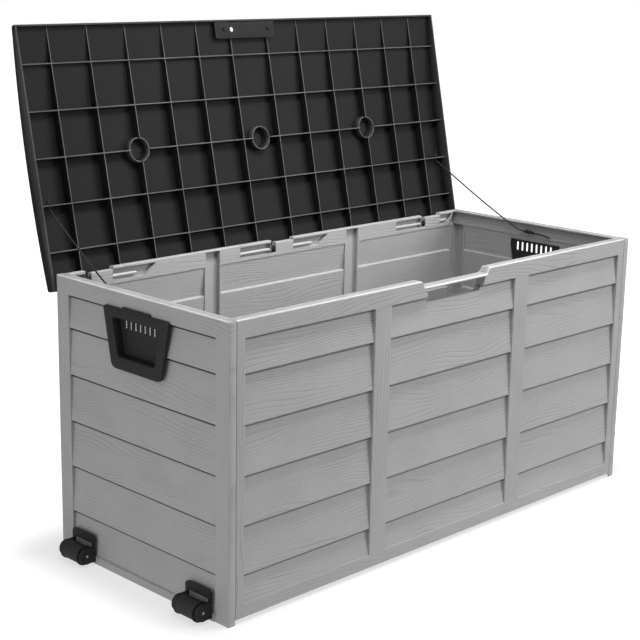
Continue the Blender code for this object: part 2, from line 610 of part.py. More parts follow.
def latch_plate():
    """Padlock plate under the lid's front edge, with its corners away from the skirt rounded."""
    low, high = latch_plate_span()
    near = -HALF_DEPTH + GAP
    left, right = LATCH_PLATE_X - LATCH_PLATE_LENGTH / 2, LATCH_PLATE_X + LATCH_PLATE_LENGTH / 2
    corners = [(left, near), (right, near), (right, near + LATCH_PLATE_DEPTH), (left, near + LATCH_PLATE_DEPTH)]
    plate = outline(rounded(corners, (0.001, 0.001, 0.006, 0.006)), "Z", low, high)
    cuts = [rod(PADLOCK_RADIUS, 4 * WALL, (PADLOCK_X, latch_plate_y(), low), "Z")]
    for x in LATCH_SCREWS_X:
        cuts.append(rod(SCREW_SHANK_RADIUS + GAP, 4 * WALL, (x, latch_plate_y(), low), "Z", 12))
    return fuse([plate], cuts)


def latch_screw(x):
    """A pan-head screw up through the plate into its stand."""
    low, high = latch_plate_span()
    head = 0.0018
    pieces = [rod(SCREW_HEAD_RADIUS, head, (x, latch_plate_y(), low - GAP - head / 2), "Z"),
              rod(SCREW_SHANK_RADIUS, high - low + 2 * head, (x, latch_plate_y(), (low + high) / 2 - GAP), "Z", 12)]
    return fuse(pieces)


# ---- stay cords ----------------------------------------------------------------------------
def cord_hole(side):
    """Where a cord passes the lid's second rib from the hinge, in the lid's shut place."""
    return Vector((side * (HALF_LENGTH - CORD_X), LID_MID_Y + LONG_RIB_PITCH, RIB_TIP_Z + CORD_RIB_Z))


def opened(point):
    """A point of the shut lid, carried to where the open lid has it."""
    axis = Vector((0, AXIS_Y, AXIS_Z))
    return Matrix.Rotation(-OPEN_ANGLE, 3, "X") @ (Vector(point) - axis) + axis


def smooth_path(points, count):
    """Evenly numbered points on a Catmull-Rom curve through the given points."""
    padded = [2 * points[0] - points[1]] + points + [2 * points[-1] - points[-2]]
    path = []
    for number in range(count):
        place_along = number / (count - 1) * (len(points) - 1)
        index = min(int(place_along), len(points) - 2)
        t = place_along - index
        a, b, c, d = padded[index:index + 4]
        path.append(0.5 * (2 * b + (c - a) * t + (2 * a - 5 * b + 4 * c - d) * t * t
                           + (3 * b - 3 * c + d - a) * t ** 3))
    return path


def stay_cord(side):
    """A cord from the lid's rib down to its knot inside the end panel, sagging a little."""
    hole = cord_hole(side)
    away = RIB_THICKNESS / 2 + 0.002
    start = opened(hole - Vector((0, away - 0.0035, 0)))
    below = opened(hole + Vector((0, away + 0.004, -0.001)))
    end = Vector((side * (HALF_LENGTH - FLANGE - KNOT_STANDOFF - KNOT_RADIUS),
                  LOWER_KNOT_Y[side] + LOWER_KNOT_HALF + GAP, HEIGHT - LOWER_KNOT_DROP))
    turn = Vector((below.x, end.y + 0.020, end.z + 0.0065))
    route = [start, below]
    span = turn - below
    for share, sag in ((0.12, 0.001), (0.3, 0.002), (0.5, 0.003), (0.75, 0.0025)):
        route.append(below + span * share - Vector((0, 0, sag)))
    route += [turn, end + Vector((-side * 0.0012, 0.008, 0.0012)), end]
    return tube(smooth_path(route, 60), CORD_RADIUS)


def lower_knot(side):
    """Overhand knot with its loop through the end panel's rim and a loose tail."""
    face = HALF_LENGTH - FLANGE
    z = HEIGHT - LOWER_KNOT_DROP
    x = side * (face - KNOT_STANDOFF - KNOT_RADIUS)
    knot = [Vector((x, LOWER_KNOT_Y[side] + LOWER_KNOT_HALF * share, z)) for share in (-1, -0.5, 0, 0.5, 1)]
    turns = 16
    loop = []
    for step in range(turns + 1):
        angle = math.pi * (-0.1 + 1.2 * step / turns)
        loop.append(Vector((side * (face - 0.0015 + KNOT_LOOP * math.sin(angle)), LOWER_KNOT_Y[side] + KNOT_LOOP * math.cos(angle), z)))
    tail = smooth_path([Vector((x, LOWER_KNOT_Y[side] - LOWER_KNOT_HALF + 0.002, z - 0.0012)),
                        Vector((x, LOWER_KNOT_Y[side] - LOWER_KNOT_HALF - TAIL_LENGTH / 2, z - 0.0018)),
                        Vector((x + side * 0.001, LOWER_KNOT_Y[side] - LOWER_KNOT_HALF - TAIL_LENGTH, z - 0.006))], 10)
    return fuse([tube(knot, KNOT_RADIUS), tube(loop, CORD_RADIUS), tube(tail, CORD_RADIUS)])


def upper_knot(side):
    """Stopper knot on the far side of the lid's rib, in the lid's shut place."""
    hole = cord_hole(side)
    near = -RIB_THICKNESS / 2 - 2 * GAP
    run = [hole + Vector((0, near - depth, 0)) for depth in (0.0, 0.0045, 0.009)]
    return tube(run, KNOT_RADIUS)


# ---- rollers at the left end ---------------------------------------------------------------
def axle_place(side):
    return Vector((-HALF_LENGTH - ROLLER_OUT, side * ROLLER_Y, ROLLER_RADIUS + ROLLER_LIFT))


def wheel_bracket(side):
    """Bracket plate on the end wall with two rounded arms that carry the axle."""
    axle = axle_place(side)
    face = -HALF_LENGTH - END_STRIP_PROUD - GAP
    low, high = side * ROLLER_Y - BRACKET_WIDTH / 2, side * ROLLER_Y + BRACKET_WIDTH / 2
    corners = [(low, BRACKET_FOOT), (high, BRACKET_FOOT), (high, BRACKET_HEIGHT), (low, BRACKET_HEIGHT)]
    plate = outline(rounded(corners, (0.001, 0.001, 0.008, 0.008)), "X", face - BRACKET_PLATE, face)
    arm_width = (BRACKET_WIDTH - ROLLER_LENGTH) / 2 - ROLLER_END_PLAY
    pieces = [plate]
    cuts = []
    for near, far in ((low, low + arm_width), (high - arm_width, high)):
        middle = (axle.x, (near + far) / 2, axle.z)
        pieces.append(rod(ARM_RADIUS, arm_width, middle, "Y"))
        pieces.append(box((axle.x, near, axle.z - ARM_RADIUS + BITE), (face - BITE, far, axle.z + ARM_RADIUS - BITE)))
        cuts.append(rod(AXLE_RADIUS + GAP, arm_width + OVERSHOOT, middle, "Y"))
    cuts.append(box((face - BRACKET_PLATE - OVERSHOOT, low + arm_width, BRACKET_FOOT - OVERSHOOT),
                    (face + OVERSHOOT, high - arm_width, axle.z + ROLLER_RADIUS + ROLLER_LIFT)))
    return fuse(pieces, cuts)


def roller():
    """Hollow-ended roller about its own centre, axis along Y, with a raised flange at each end."""
    half = ROLLER_LENGTH / 2
    barrel = ROLLER_RADIUS - 0.0012
    pieces = [rod(barrel, ROLLER_LENGTH, (0, 0, 0), "Y")]
    for side in (-1, 1):
        pieces.append(rod(ROLLER_RADIUS, WALL, (0, side * (half - WALL / 2 - GAP), 0), "Y"))
    return fuse(pieces, [rod(AXLE_RADIUS + AXLE_PLAY, ROLLER_LENGTH + OVERSHOOT, (0, 0, 0), "Y")])


# ---- assembly ------------------------------------------------------------------------------
def add_walls(parts, grey):
    place(parts, "front_panel", front_panel(), grey, at=(0, -HALF_DEPTH, 0))
    place(parts, "rear_panel", rear_panel(), grey, at=(0, HALF_DEPTH, 0), turn=math.pi)
    place(parts, "left_end_panel", end_panel(-1), grey, at=(-HALF_LENGTH, 0, 0), turn=-math.pi / 2)
    place(parts, "right_end_panel", end_panel(1), grey, at=(HALF_LENGTH, 0, 0), turn=math.pi / 2)
    place(parts, "base_panel", base_panel(), grey)


def add_handles(parts, black):
    place(parts, "left_handle", handle(), black, at=(-HALF_LENGTH, 0, 0), turn=-math.pi / 2)
    place(parts, "right_handle", handle(), black, at=(HALF_LENGTH, 0, 0), turn=math.pi / 2)


def add_hinge_pins(parts, steel):
    for name, (_, right, pocket_left, pocket_right) in zip(("left", "centre", "right"), hinge_stations()):
        start = pocket_left - WALL / 2
        end = min(right + PIN_BEYOND_BLOCK, pocket_right - pocket_slant(right, pocket_right) - WALL)
        pin = rod(PIN_RADIUS, end - start, ((start + end) / 2, AXIS_Y, AXIS_Z), "X")
        place(parts, name + "_hinge_pin", pin, steel, smooth=True)


def add_lid(parts, charcoal, black, steel):
    axis = Vector((0, AXIS_Y, AXIS_Z))
    hinge = bpy.data.objects.new("lid_hinge_axis", None)
    hinge.location = axis
    hinge.rotation_euler = (-OPEN_ANGLE, 0, 0)
    parts.objects.link(hinge)
    place(parts, "lid_panel", lid_panel(), charcoal, at=-axis, parent=hinge)
    place(parts, "latch_plate", latch_plate(), charcoal, at=-axis, parent=hinge)
    place(parts, "left_latch_screw", latch_screw(LATCH_SCREWS_X[0]), steel, at=-axis, parent=hinge, smooth=True)
    place(parts, "right_latch_screw", latch_screw(LATCH_SCREWS_X[1]), steel, at=-axis, parent=hinge, smooth=True)
    for name, side in (("left", -1), ("right", 1)):
        place(parts, name + "_cord_upper_knot", upper_knot(side), black, at=-axis, parent=hinge, smooth=True)


def add_cords(parts, black):
    for name, side in (("left", -1), ("right", 1)):
        place(parts, name + "_stay_cord", stay_cord(side), black, smooth=True)
        place(parts, name + "_cord_lower_knot", lower_knot(side), black, smooth=True)


def add_rollers(parts, black, steel):
    for name, side in (("front", -1), ("rear", 1)):
        axle = axle_place(side)
        place(parts, name + "_wheel_bracket", wheel_bracket(side), black)
        place(parts, name + "_wheel", roller(), black, at=axle, smooth=True)
        pin = rod(AXLE_RADIUS, BRACKET_WIDTH - GAP, (0, 0, 0), "Y")
        place(parts, name + "_wheel_axle", pin, steel, at=axle, smooth=True)


def main():
    parts = empty_scene()
    grey = plastic("grey_resin", (0.36, 0.36, 0.36), 0.55)
    charcoal = plastic("charcoal_resin", (0.028, 0.028, 0.029), 0.5)
    black = plastic("black_resin", (0.012, 0.012, 0.012), 0.4)
    steel = plastic("zinc_steel", (0.55, 0.55, 0.55), 0.35, 1.0)
    add_walls(parts, grey)
    add_handles(parts, black)
    add_hinge_pins(parts, steel)
    add_lid(parts, charcoal, black, steel)
    add_cords(parts, black)
    add_rollers(parts, black, steel)


main()
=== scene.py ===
import math

import bpy
import numpy as np
from mathutils import Matrix, Vector


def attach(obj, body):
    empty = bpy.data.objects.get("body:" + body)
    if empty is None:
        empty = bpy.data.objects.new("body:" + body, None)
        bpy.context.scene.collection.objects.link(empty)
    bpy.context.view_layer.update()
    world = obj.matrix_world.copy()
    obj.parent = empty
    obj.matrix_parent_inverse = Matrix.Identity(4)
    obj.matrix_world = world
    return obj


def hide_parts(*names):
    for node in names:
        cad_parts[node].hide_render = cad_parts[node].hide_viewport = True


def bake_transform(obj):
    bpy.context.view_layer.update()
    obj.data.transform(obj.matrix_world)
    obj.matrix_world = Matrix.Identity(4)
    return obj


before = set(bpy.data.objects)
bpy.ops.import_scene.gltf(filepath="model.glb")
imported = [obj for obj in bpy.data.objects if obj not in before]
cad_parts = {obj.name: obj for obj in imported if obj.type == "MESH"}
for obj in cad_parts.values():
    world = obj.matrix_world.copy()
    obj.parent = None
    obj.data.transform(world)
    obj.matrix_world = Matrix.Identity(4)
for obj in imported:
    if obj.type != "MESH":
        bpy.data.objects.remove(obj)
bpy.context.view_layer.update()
print("deck box: frame loaded")


# Camera first: where it stands and which way it looks, in metres and degrees.
cameraPlan = {"place": (-2.0400, -1.9134, 1.0801), "yaw": 45.1276, "pitch": -13.9140, "roll": 1.0705, "lens": 83.47}


def buildCamera(plan):
    yaw, pitch, roll = (math.radians(plan[key]) for key in ("yaw", "pitch", "roll"))
    ahead = Vector((math.sin(yaw) * math.cos(pitch), math.cos(yaw) * math.cos(pitch), math.sin(pitch)))
    right = Vector((math.cos(yaw), -math.sin(yaw), 0.0))
    up = right.cross(ahead)
    turnedRight = right * math.cos(roll) + up * math.sin(roll)
    turnedUp = up * math.cos(roll) - right * math.sin(roll)
    lens = bpy.data.cameras.new("boxCamera")
    lens.lens = plan["lens"]
    lens.sensor_width = 36.0
    lens.clip_end = 100.0
    holder = bpy.data.objects.new("boxCamera", lens)
    bpy.context.scene.collection.objects.link(holder)
    turn = Matrix((turnedRight, turnedUp, -ahead)).transposed().to_4x4()
    holder.matrix_world = Matrix.Translation(plan["place"]) @ turn
    bpy.context.scene.camera = holder


buildCamera(cameraPlan)
bpy.context.scene.view_settings.view_transform = "Standard"
print("deck box: camera set")


# Grid and mesh helpers.
def evenLines(low, high, step, extra=()):
    # even lines no wider apart than step, with the extra ones in place of any that lie too near them
    extra = np.unique(np.round([e for e in extra if low - 1e-9 <= e <= high + 1e-9] + [low, high], 6))
    even = np.linspace(low, high, max(2, int(math.ceil((high - low) / step)) + 1))
    apart = np.abs(even[:, None] - extra[None, :]).min(axis=1) > 0.22 * step
    return np.unique(np.concatenate([extra, np.round(even[apart], 6)]))


def gridQuads(rows, columns, closedRows=False, closedColumns=False):
    # four corners of every cell of a grid numbered row by row, wrapping round where asked
    r = np.arange(rows if closedRows else rows - 1)
    c = np.arange(columns if closedColumns else columns - 1)
    r, c = np.meshgrid(r, c, indexing="ij")
    nextR, nextC = (r + 1) % rows, (c + 1) % columns
    return np.stack([r * columns + c, nextR * columns + c, nextR * columns + nextC, r * columns + nextC], -1).reshape(-1, 4)


def nearestLine(lines, place):
    return int(np.abs(lines - place).argmin())


def ringAround(i0, i1, j0, j1):
    # the grid points round the edge of a block of cells, in order
    return ([(i, j0) for i in range(i0, i1)] + [(i1, j) for j in range(j0, j1)]
            + [(i, j1) for i in range(i1, i0, -1)] + [(i0, j) for j in range(j1, j0, -1)])


def bridgeRings(first, second):
    # quads between two closed rings with the same count of points
    return np.stack([first, np.roll(first, -1), np.roll(second, -1), second], -1)


def shell(points, faces, caps=(), **values):
    # one closed surface: points (n, 3), quads (m, 4), end caps as lists, and values per point
    return {"points": np.asarray(points, float).reshape(-1, 3), "faces": np.asarray(faces, int).reshape(-1, 4),
            "caps": [list(cap) for cap in caps], "values": values}


def outwardFaces(part):
    # volume is the sum of a.(b x c)/6 over triangles; a negative one means the faces point inwards
    p, q = part["points"], part["faces"]
    middle = p.mean(axis=0)
    p = p - middle
    total = np.einsum("ij,ij->", p[q[:, 0]], np.cross(p[q[:, 1]], p[q[:, 2]]))
    total += np.einsum("ij,ij->", p[q[:, 0]], np.cross(p[q[:, 2]], p[q[:, 3]]))
    for cap in part["caps"]:
        ring = p[cap]
        total += np.einsum("ij,ij->", np.repeat(ring[:1], len(cap) - 2, 0), np.cross(ring[1:-1], ring[2:]))
    faces = q.tolist() + part["caps"]
    return faces if total > 0 else [face[::-1] for face in faces]


def makePiece(name, shells, material, body, nodes=(), sharp=32.0):
    points = np.concatenate([part["points"] for part in shells])
    faces, start = [], 0
    for part in shells:
        faces += [[index + start for index in face] for face in outwardFaces(part)]
        start += len(part["points"])
    mesh = bpy.data.meshes.new(name)
    mesh.from_pydata(points.tolist(), [], faces)
    names = sorted({key for part in shells for key in part["values"]})
    for key in names:
        given = next(np.asarray(part["values"][key]) for part in shells if key in part["values"])
        vector = given.reshape(-1).size == 3 * len(next(p for p in shells if key in p["values"])["points"])
        width = 3 if vector else 1
        column = np.concatenate([np.asarray(part["values"].get(key, np.zeros((len(part["points"]), width))), float).reshape(-1, width)
                                 for part in shells])
        spot = mesh.attributes.new(key, "FLOAT_VECTOR" if vector else "FLOAT", "POINT")
        spot.data.foreach_set("vector" if vector else "value", column.astype(np.float32).ravel())
    mesh.validate()
    mesh.shade_smooth()
    mesh.set_sharp_from_angle(angle=math.radians(sharp))
    mesh.materials.append(material)
    piece = bpy.data.objects.new(name, mesh)
    bpy.context.scene.collection.objects.link(piece)
    if body:
        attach(piece, body)
    if nodes:
        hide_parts(*nodes)
    print("deck box:", name, len(mesh.polygons), "faces")
    return piece


def edgeDrop(distance, radius):
    # how far a rounded edge falls away at a distance in from it: r - sqrt(r^2 - (r - d)^2)
    inside = np.clip(radius - np.clip(distance, 0, None), 0, radius)
    return radius - np.sqrt(np.clip(radius * radius - inside * inside, 0, None))


def roundedBlock(low, high, radius):
    # a block as stacked rounded rectangles: each level is the rectangle drawn in by edgeDrop of its height
    low, high = np.array(low, float), np.array(high, float)
    radius = min(radius, 0.49 * float((high - low).min()))
    rise = radius * (1 - np.cos(np.linspace(0, math.pi / 2, 4)))
    levels = np.concatenate([low[2] + rise, high[2] - rise[::-1]])
    draw = np.concatenate([edgeDrop(rise, radius), edgeDrop(rise[::-1], radius)])
    turn = np.linspace(0, math.pi / 2, 5)
    corners = []
    for index, (cx, cy) in enumerate(((1, 1), (0, 1), (0, 0), (1, 0))):
        angle = turn + index * math.pi / 2
        x = (high[0] - radius if cx else low[0] + radius) + 0 * angle
        y = (high[1] - radius if cy else low[1] + radius) + 0 * angle
        corners.append(np.stack([x, y, np.cos(angle), np.sin(angle)], -1))
    ring = np.concatenate(corners)
    reach = radius - draw[:, None]
    x = ring[None, :, 0] + ring[None, :, 2] * reach
    y = ring[None, :, 1] + ring[None, :, 3] * reach
    z = np.repeat(levels[:, None], len(ring), 1)
    count = len(ring)
    caps = [list(range(count))[::-1], list(range((len(levels) - 1) * count, len(levels) * count))]
    return shell(np.stack([x, y, z], -1), gridQuads(len(levels), count, closedColumns=True), caps)


def turnedRing(profile, axis, centre, steps=48, ripple=None):
    # a closed profile of (radius, along) turned about an axis through a centre
    profile = np.array(profile, float)
    angle = np.linspace(0, 2 * math.pi, steps, endpoint=False)
    radius = profile[None, :, 0] * np.ones((steps, 1))
    if ripple is not None:
        radius = radius * ripple(angle[:, None], profile[None, :, 1])
    along = np.repeat(profile[None, :, 1], steps, 0)
    a, b = radius * np.cos(angle)[:, None], radius * np.sin(angle)[:, None]
    order = {"X": (along, a, b), "Y": (b, along, a), "Z": (a, b, along)}[axis]
    return shell(np.stack(order, -1) + np.array(centre, float), gridQuads(steps, len(profile), True, True))


def tubeAlong(path, radius, sides=12, reference=(0, 0, 1)):
    # a circle of this radius carried along a path; its ends close in over a half circle
    path = np.asarray(path, float)
    ahead = np.gradient(path, axis=0)
    ahead /= np.linalg.norm(ahead, axis=1, keepdims=True)
    side = np.cross(ahead, np.array(reference, float))
    side /= np.linalg.norm(side, axis=1, keepdims=True)
    up = np.cross(side, ahead)
    step = np.linalg.norm(np.diff(path, axis=0), axis=1)
    run = np.concatenate([[0], np.cumsum(step)])
    size = radius * np.ones(len(path)) if np.isscalar(radius) else np.asarray(radius, float)
    turn = np.linspace(0, math.pi / 2, 4)[:-1]
    start = path[0] - ahead[0] * (size[0] * np.cos(turn))[:, None]
    end = path[-1] + ahead[-1] * (size[-1] * np.cos(turn[::-1]))[:, None]
    centre = np.concatenate([start, path, end])
    side = np.concatenate([np.repeat(side[:1], 3, 0), side, np.repeat(side[-1:], 3, 0)])
    up = np.concatenate([np.repeat(up[:1], 3, 0), up, np.repeat(up[-1:], 3, 0)])
    size = np.concatenate([size[0] * np.maximum(np.sin(turn), 0.08), size, size[-1] * np.maximum(np.sin(turn[::-1]), 0.08)])
    run = np.concatenate([np.full(3, run[0]), run, np.full(3, run[-1])])
    angle = np.linspace(0, 2 * math.pi, sides, endpoint=False)
    points = (centre[:, None, :] + size[:, None, None] * (np.cos(angle)[None, :, None] * side[:, None, :]
                                                          + np.sin(angle)[None, :, None] * up[:, None, :]))
    place = np.stack([np.repeat(run[:, None], sides, 1), np.repeat(angle[None, :], len(run), 0) / (2 * math.pi),
                      np.zeros((len(run), sides))], -1)
    last = (len(centre) - 1) * sides
    caps = [list(range(sides))[::-1], list(range(last, last + sides))]
    return shell(points, gridQuads(len(centre), sides, closedColumns=True), caps, cordPlace=place.reshape(-1, 3))


def smoothPath(points, count):
    # evenly numbered points on a Catmull-Rom curve through the given points
    points = np.asarray(points, float)
    padded = np.concatenate([2 * points[:1] - points[1:2], points, 2 * points[-1:] - points[-2:-1]])
    place = np.linspace(0, 1, count) * (len(points) - 1)
    index = np.minimum(place.astype(int), len(points) - 2)
    t = (place - index)[:, None]
    a, b, c, d = (padded[index + k] for k in range(4))
    return 0.5 * (2 * b + (c - a) * t + (2 * a - 5 * b + 4 * c - d) * t ** 2 + (3 * b - 3 * c + d - a) * t ** 3)


# Shader groups.
def newGroup(name, inputs, outputs):
    tree = bpy.data.node_groups.new(name, "ShaderNodeTree")
    for title, kind, value in inputs:
        made = tree.interface.new_socket(name=title, in_out="INPUT", socket_type=kind)
        if value is not None:
            made.default_value = value
    for title, kind in outputs:
        tree.interface.new_socket(name=title, in_out="OUTPUT", socket_type=kind)
    return tree, tree.nodes.new("NodeGroupInput"), tree.nodes.new("NodeGroupOutput")


def addNode(tree, kind, links=(), **settings):
    # makes a node, sets its properties and unlinked sockets, and joins its inputs
    node = tree.nodes.new(kind)
    for key, value in settings.items():
        if key.startswith("in_"):
            socket = node.inputs[int(key[3:])] if key[3:].isdigit() else node.inputs[key[3:].replace("_", " ")]
            socket.default_value = value
        else:
            setattr(node, key, value)
    for target, source in links:
        tree.links.new(source, node.inputs[target])
    return node


def maths(tree, operation, first, second=None, third=None):
    node = tree.nodes.new("ShaderNodeMath")
    node.operation = operation
    for index, value in enumerate((first, second, third)):
        if value is None:
            continue
        if isinstance(value, (int, float)):
            node.inputs[index].default_value = value
        else:
            tree.links.new(value, node.inputs[index])
    return node.outputs[0]


def mixColour(tree, share, first, second):
    node = tree.nodes.new("ShaderNodeMix")
    node.data_type = "RGBA"
    for index, value in ((0, share), (6, first), (7, second)):
        if isinstance(value, (int, float)):
            node.inputs[index].default_value = value
        elif isinstance(value, tuple):
            node.inputs[index].default_value = (*value, 1.0)
        else:
            tree.links.new(value, node.inputs[index])
    return node.outputs[2]


def boardGrainGroup():
    # contour lines of a long stretched noise give the arched figure of sawn boards, with fine fibres over it
    tree, entry, out = newGroup("boardGrain", [("Place", "NodeSocketVector", None), ("Lines", "NodeSocketFloat", 175.0),
                                               ("Arch", "NodeSocketFloat", 13.0)],
                                [("Height", "NodeSocketFloat"), ("Mask", "NodeSocketFloat")])
    split = addNode(tree, "ShaderNodeSeparateXYZ", [(0, entry.outputs["Place"])])
    slow = addNode(tree, "ShaderNodeCombineXYZ", [(0, maths(tree, "MULTIPLY", split.outputs[0], 3.2)),
                                                   (1, maths(tree, "MULTIPLY", split.outputs[1], 13.0)),
                                                   (2, maths(tree, "MULTIPLY", split.outputs[2], 3.7))])
    figure = addNode(tree, "ShaderNodeTexNoise", [("Vector", slow.outputs[0])], in_Scale=1.0, in_Detail=1.5, in_Roughness=0.4)
    count = maths(tree, "MULTIPLY", split.outputs[1], entry.outputs["Lines"])
    count = maths(tree, "ADD", count, maths(tree, "MULTIPLY", figure.outputs[0], entry.outputs["Arch"]))
    wave = maths(tree, "SINE", maths(tree, "MULTIPLY", count, 2 * math.pi))
    groove = addNode(tree, "ShaderNodeMapRange", [(0, wave)], interpolation_type="SMOOTHSTEP", in_1=0.35, in_2=0.98)
    fine = addNode(tree, "ShaderNodeCombineXYZ", [(0, maths(tree, "MULTIPLY", split.outputs[0], 30.0)),
                                                   (1, maths(tree, "MULTIPLY", split.outputs[1], 520.0)),
                                                   (2, split.outputs[2])])
    fibre = addNode(tree, "ShaderNodeTexNoise", [("Vector", fine.outputs[0])], in_Scale=1.0, in_Detail=3.0)
    patch = addNode(tree, "ShaderNodeTexNoise", [("Vector", slow.outputs[0])], in_Scale=2.3, in_Detail=1.0)
    strength = addNode(tree, "ShaderNodeMapRange", [(0, patch.outputs[0])], in_1=0.38, in_2=0.66, in_3=0.25, in_4=1.0)
    mask = maths(tree, "MULTIPLY", groove.outputs[0], strength.outputs[0])
    height = maths(tree, "ADD", maths(tree, "MULTIPLY", mask, -0.75), maths(tree, "MULTIPLY", fibre.outputs[0], 0.35))
    tree.links.new(height, out.inputs["Height"])
    tree.links.new(mask, out.inputs["Mask"])
    return tree


def resinMottleGroup():
    # slow clouding of a moulded surface and the fine sparkle of its etched mould
    tree, entry, out = newGroup("resinMottle", [("Vector", "NodeSocketVector", None), ("Cloud", "NodeSocketFloat", 9.0),
                                                ("Speck", "NodeSocketFloat", 700.0)],
                                [("Cloud", "NodeSocketFloat"), ("Speck", "NodeSocketFloat")])
    cloud = addNode(tree, "ShaderNodeTexNoise", [("Vector", entry.outputs["Vector"]), ("Scale", entry.outputs["Cloud"])],
                    in_Detail=3.0, in_Roughness=0.6)
    speck = addNode(tree, "ShaderNodeTexNoise", [("Vector", entry.outputs["Vector"]), ("Scale", entry.outputs["Speck"])],
                    in_Detail=2.0)
    tree.links.new(cloud.outputs[0], out.inputs["Cloud"])
    tree.links.new(speck.outputs[0], out.inputs["Speck"])
    return tree


boardGrain = boardGrainGroup()
resinMottle = resinMottleGroup()


def startMaterial(name, roughness, metallic=0.0):
    made = bpy.data.materials.new(name)
    made.use_nodes = True
    shader = made.node_tree.nodes["Principled BSDF"]
    shader.inputs["Roughness"].default_value = roughness
    shader.inputs["Metallic"].default_value = metallic
    return made, made.node_tree, shader


def useGroup(tree, group, links=(), **values):
    node = tree.nodes.new("ShaderNodeGroup")
    node.node_tree = group
    for target, source in links:
        tree.links.new(source, node.inputs[target])
    for key, value in values.items():
        node.inputs[key].default_value = value
    return node


greyResinPlan = {"pale": (0.425, 0.425, 0.426), "deep": (0.350, 0.351, 0.353), "crease": (0.022, 0.022, 0.022), "paintedRimHighlight": (0.82, 0.82, 0.825),
                 "grainDark": 0.15, "grainDepth": 0.00034, "speckDepth": 0.00004, "roughness": 0.52}


def greyResinMaterial(plan):
    made, tree, shader = startMaterial("greyResin", plan["roughness"])
    place = addNode(tree, "ShaderNodeAttribute", attribute_name="grainPlace")
    crease = addNode(tree, "ShaderNodeAttribute", attribute_name="crease")
    spot = addNode(tree, "ShaderNodeTexCoord")
    grain = useGroup(tree, boardGrain, [("Place", place.outputs["Vector"])])
    mottle = useGroup(tree, resinMottle, [("Vector", spot.outputs["Object"])])
    colour = mixColour(tree, mottle.outputs["Cloud"], plan["deep"], plan["pale"])
    colour = mixColour(tree, maths(tree, "MULTIPLY", grain.outputs["Mask"], plan["grainDark"]), colour, plan["crease"])
    # painted shade: the mask darkens the boards under each plank foot with the same near-black colour that draws the
    # grain lines
    colour = mixColour(tree, crease.outputs["Fac"], colour, plan["crease"])
    # painted highlight: the rim's rounded edges are lightened towards the pale colour, unevenly with the mottle
    wear = addNode(tree, "ShaderNodeAttribute", attribute_name="wear")
    colour = mixColour(tree, maths(tree, "MULTIPLY", wear.outputs["Fac"], maths(tree, "ADD", mottle.outputs["Cloud"], 0.15)),
                       colour, plan["paintedRimHighlight"])
    tree.links.new(colour, shader.inputs["Base Color"])
    rough = addNode(tree, "ShaderNodeMapRange", [(0, mottle.outputs["Speck"])], in_3=plan["roughness"] - 0.07,
                    in_4=plan["roughness"] + 0.09)
    tree.links.new(rough.outputs[0], shader.inputs["Roughness"])
    height = maths(tree, "ADD", maths(tree, "MULTIPLY", grain.outputs["Height"], plan["grainDepth"]),
                   maths(tree, "MULTIPLY", mottle.outputs["Speck"], plan["speckDepth"]))
    bump = addNode(tree, "ShaderNodeBump", [("Height", height)], in_Distance=1.0, in_Strength=1.0)
    tree.links.new(bump.outputs[0], shader.inputs["Normal"])
    return made


charcoalPlan = {"pale": (0.0078, 0.0078, 0.0080), "deep": (0.0056, 0.0056, 0.0058), "tip": (0.120, 0.120, 0.122), "roughness": 0.70}


def charcoalMaterial(plan):
    made, tree, shader = startMaterial("charcoalResin", plan["roughness"])
    shader.inputs["Specular IOR Level"].default_value = 0.25
    spot = addNode(tree, "ShaderNodeTexCoord")
    tip = addNode(tree, "ShaderNodeAttribute", attribute_name="tip")
    mottle = useGroup(tree, resinMottle, [("Vector", spot.outputs["Object"])], Cloud=6.0, Speck=520.0)
    colour = mixColour(tree, mottle.outputs["Cloud"], plan["deep"], plan["pale"])
    # painted highlight: the tip mask lightens the rib tips, boss ends, lid skirts and plate edges towards the pale tip
    # colour, unevenly with the mottle
    wear = maths(tree, "MULTIPLY", tip.outputs["Fac"], maths(tree, "ADD", 0.25, mottle.outputs["Cloud"]))
    colour = mixColour(tree, wear, colour, plan["tip"])
    tree.links.new(colour, shader.inputs["Base Color"])
    rough = addNode(tree, "ShaderNodeMapRange", [(0, mottle.outputs["Speck"])], in_3=plan["roughness"] - 0.08,
                    in_4=plan["roughness"] + 0.12)
    tree.links.new(rough.outputs[0], shader.inputs["Roughness"])
    bump = addNode(tree, "ShaderNodeBump", [("Height", maths(tree, "MULTIPLY", mottle.outputs["Speck"], 0.0001))], in_Distance=1.0)
    tree.links.new(bump.outputs[0], shader.inputs["Normal"])
    return made


def blackMaterial(name, pale, deep, roughness, speck):
    made, tree, shader = startMaterial(name, roughness)
    spot = addNode(tree, "ShaderNodeTexCoord")
    mottle = useGroup(tree, resinMottle, [("Vector", spot.outputs["Object"])], Cloud=30.0, Speck=speck)
    colour = mixColour(tree, mottle.outputs["Cloud"], deep, pale)
    tree.links.new(colour, shader.inputs["Base Color"])
    rough = addNode(tree, "ShaderNodeMapRange", [(0, mottle.outputs["Speck"])], in_3=roughness - 0.08, in_4=roughness + 0.12)
    tree.links.new(rough.outputs[0], shader.inputs["Roughness"])
    bump = addNode(tree, "ShaderNodeBump", [("Height", maths(tree, "MULTIPLY", mottle.outputs["Speck"], 0.00008))], in_Distance=1.0)
    tree.links.new(bump.outputs[0], shader.inputs["Normal"])
    return made


def steelMaterial():
    # zinc plate: patchy brightness and a roughness that varies finely over the surface
    made, tree, shader = startMaterial("zincSteel", 0.50, 0.25)
    spot = addNode(tree, "ShaderNodeTexCoord")
    mottle = useGroup(tree, resinMottle, [("Vector", spot.outputs["Object"])], Cloud=160.0, Speck=1500.0)
    colour = mixColour(tree, mottle.outputs["Cloud"], (0.42, 0.42, 0.43), (0.56, 0.56, 0.57))
    tree.links.new(colour, shader.inputs["Base Color"])
    rough = addNode(tree, "ShaderNodeMapRange", [(0, mottle.outputs["Speck"])], in_3=0.42, in_4=0.62)
    tree.links.new(rough.outputs[0], shader.inputs["Roughness"])
    return made


